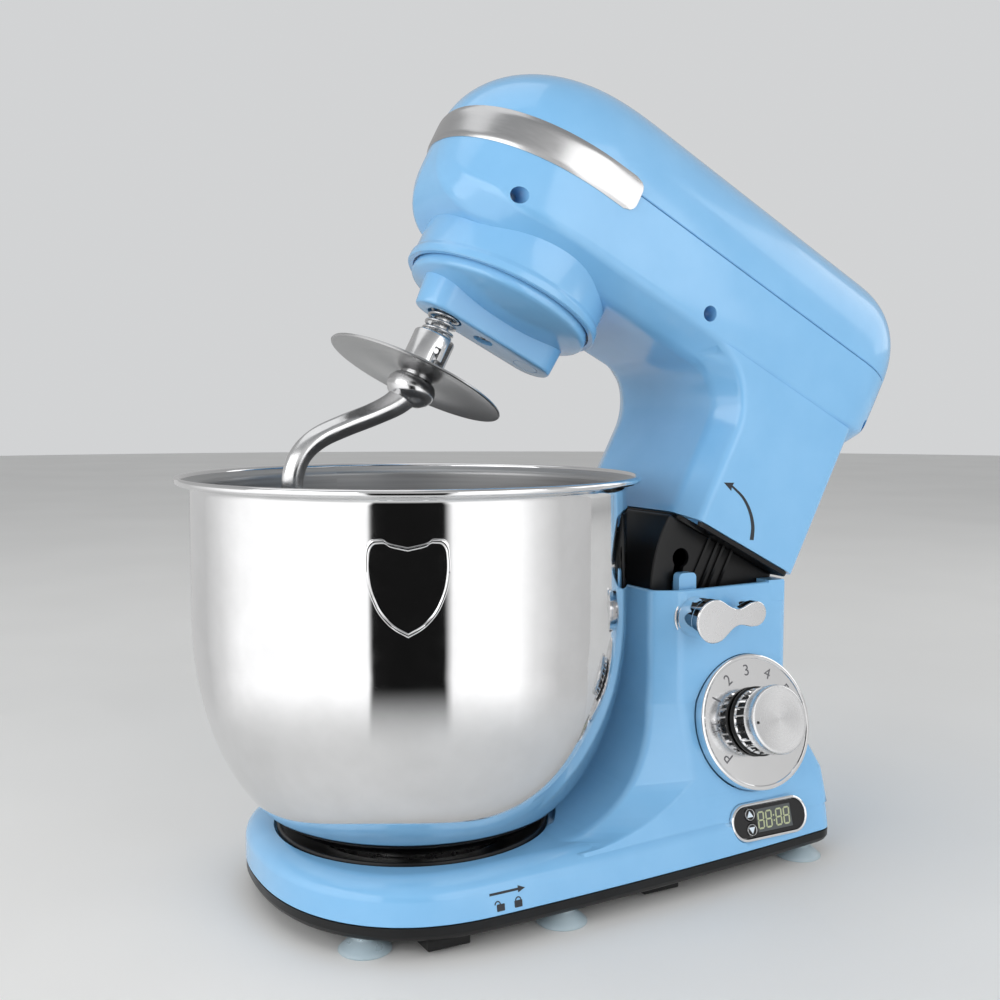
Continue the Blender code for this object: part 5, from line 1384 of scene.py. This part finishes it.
def reflected_cards():
    """A ring of soft boxes and one black flag near the bowl, seen only in reflections."""
    first, last = CARDS[0][0], CARDS[-1][0]
    section = ((CARD_FADE[0], 0.001), (CARD_AWAY, 0.001), (CARD_AWAY, CARD_TOP))
    verts = []
    for k in range(CARD_STEPS + 1):
        angle = radians(first + (last - first) * k / CARD_STEPS)
        verts += [(*polar(away, angle), z) for away, z in section]
    faces = [[3 * k + j, 3 * k + 3 + j, 3 * k + 4 + j, 3 * k + 1 + j]
        for k in range(CARD_STEPS) for j in (0, 1)]
    card = solid("soft_boxes", verts, faces)
    card.matrix_world = BENCH
    look = bpy.data.materials.new("soft_boxes")
    net = Graph(look)
    net.nodes.clear()
    place = net.add("TexCoord").outputs["Object"]
    x, y, z = net.add("SeparateXYZ", {0: place}).outputs
    share = net.spread(net.maths("ARCTAN2", y, x), radians(first), radians(last))
    shade = net.ramp(share, [((angle - first) / (last - first), (value,) * 3) for angle, value in CARDS])
    glow = net.add("Emission", {"Color": shade, "Strength": CARD_GLOW}).outputs[0]
    away = net.add("VectorMath", {0: place}, operation="LENGTH").outputs["Value"]
    fade = net.spread(away, *CARD_FADE, interpolation_type="SMOOTHSTEP")
    mixed = net.add("MixShader", {"Fac": fade, 1: net.add("BsdfTransparent").outputs[0], 2: glow})
    net.add("OutputMaterial", {"Surface": mixed.outputs[0]})
    card.data.materials.append(look)
    for rays in ("camera", "diffuse", "shadow", "transmission"):
        setattr(card, "visible_" + rays, False)


def lights():
    reflected_cards()
    area_light("left_box", round_bowl(-76.0, 1.5, 0.62), (0.0, BOWL_AXIS_Y, 0.62), 1.6, 1.24, 12.5)
    area_light("right_box", round_bowl(20.0, 1.5, 0.62), (0.0, BOWL_AXIS_Y, 0.62), 1.2, 1.24, 7.0)
    area_light("top", (-0.4, -0.5, 2.0), (0.0, 0.0, 0.2), 1.6, 1.6, 6.0)
    area_light("rear", (0.4, 1.9, 0.9), (0.0, 0.0, 0.2), 1.4, 1.0, 5.0)


def colours():
    """Show base colours as they are."""
    bpy.context.scene.view_settings.view_transform = "Standard"
    bpy.context.scene.view_settings.look = "None"


def camera():
    """Seen from the front right, a little above the bowl's rim."""
    around, away, height = radians(66.3), 0.62096, 0.25328
    heading, pitch = radians(62.01), radians(4.52)
    forward = Vector((-sin(heading) * cos(pitch), cos(heading) * cos(pitch), -sin(pitch)))
    right = Vector((cos(heading), sin(heading), 0.0))
    up = right.cross(forward)
    data = bpy.data.cameras.new("view")
    data.lens = 42.757
    data.sensor_width = 36.0
    data.clip_start = 0.01
    obj = placed("view", data)
    place = Matrix((right, up, -forward)).transposed().to_4x4()
    place.translation = (sin(around) * away, -cos(around) * away + BOWL_AXIS_Y, height)
    obj.matrix_world = place
    bpy.context.scene.camera = obj


for step in (show_base, show_dial, show_timer, show_lever, show_bowl, show_head, show_drive,
        dress_kept_nodes, floor, studio, lights, colours, camera):
    step()
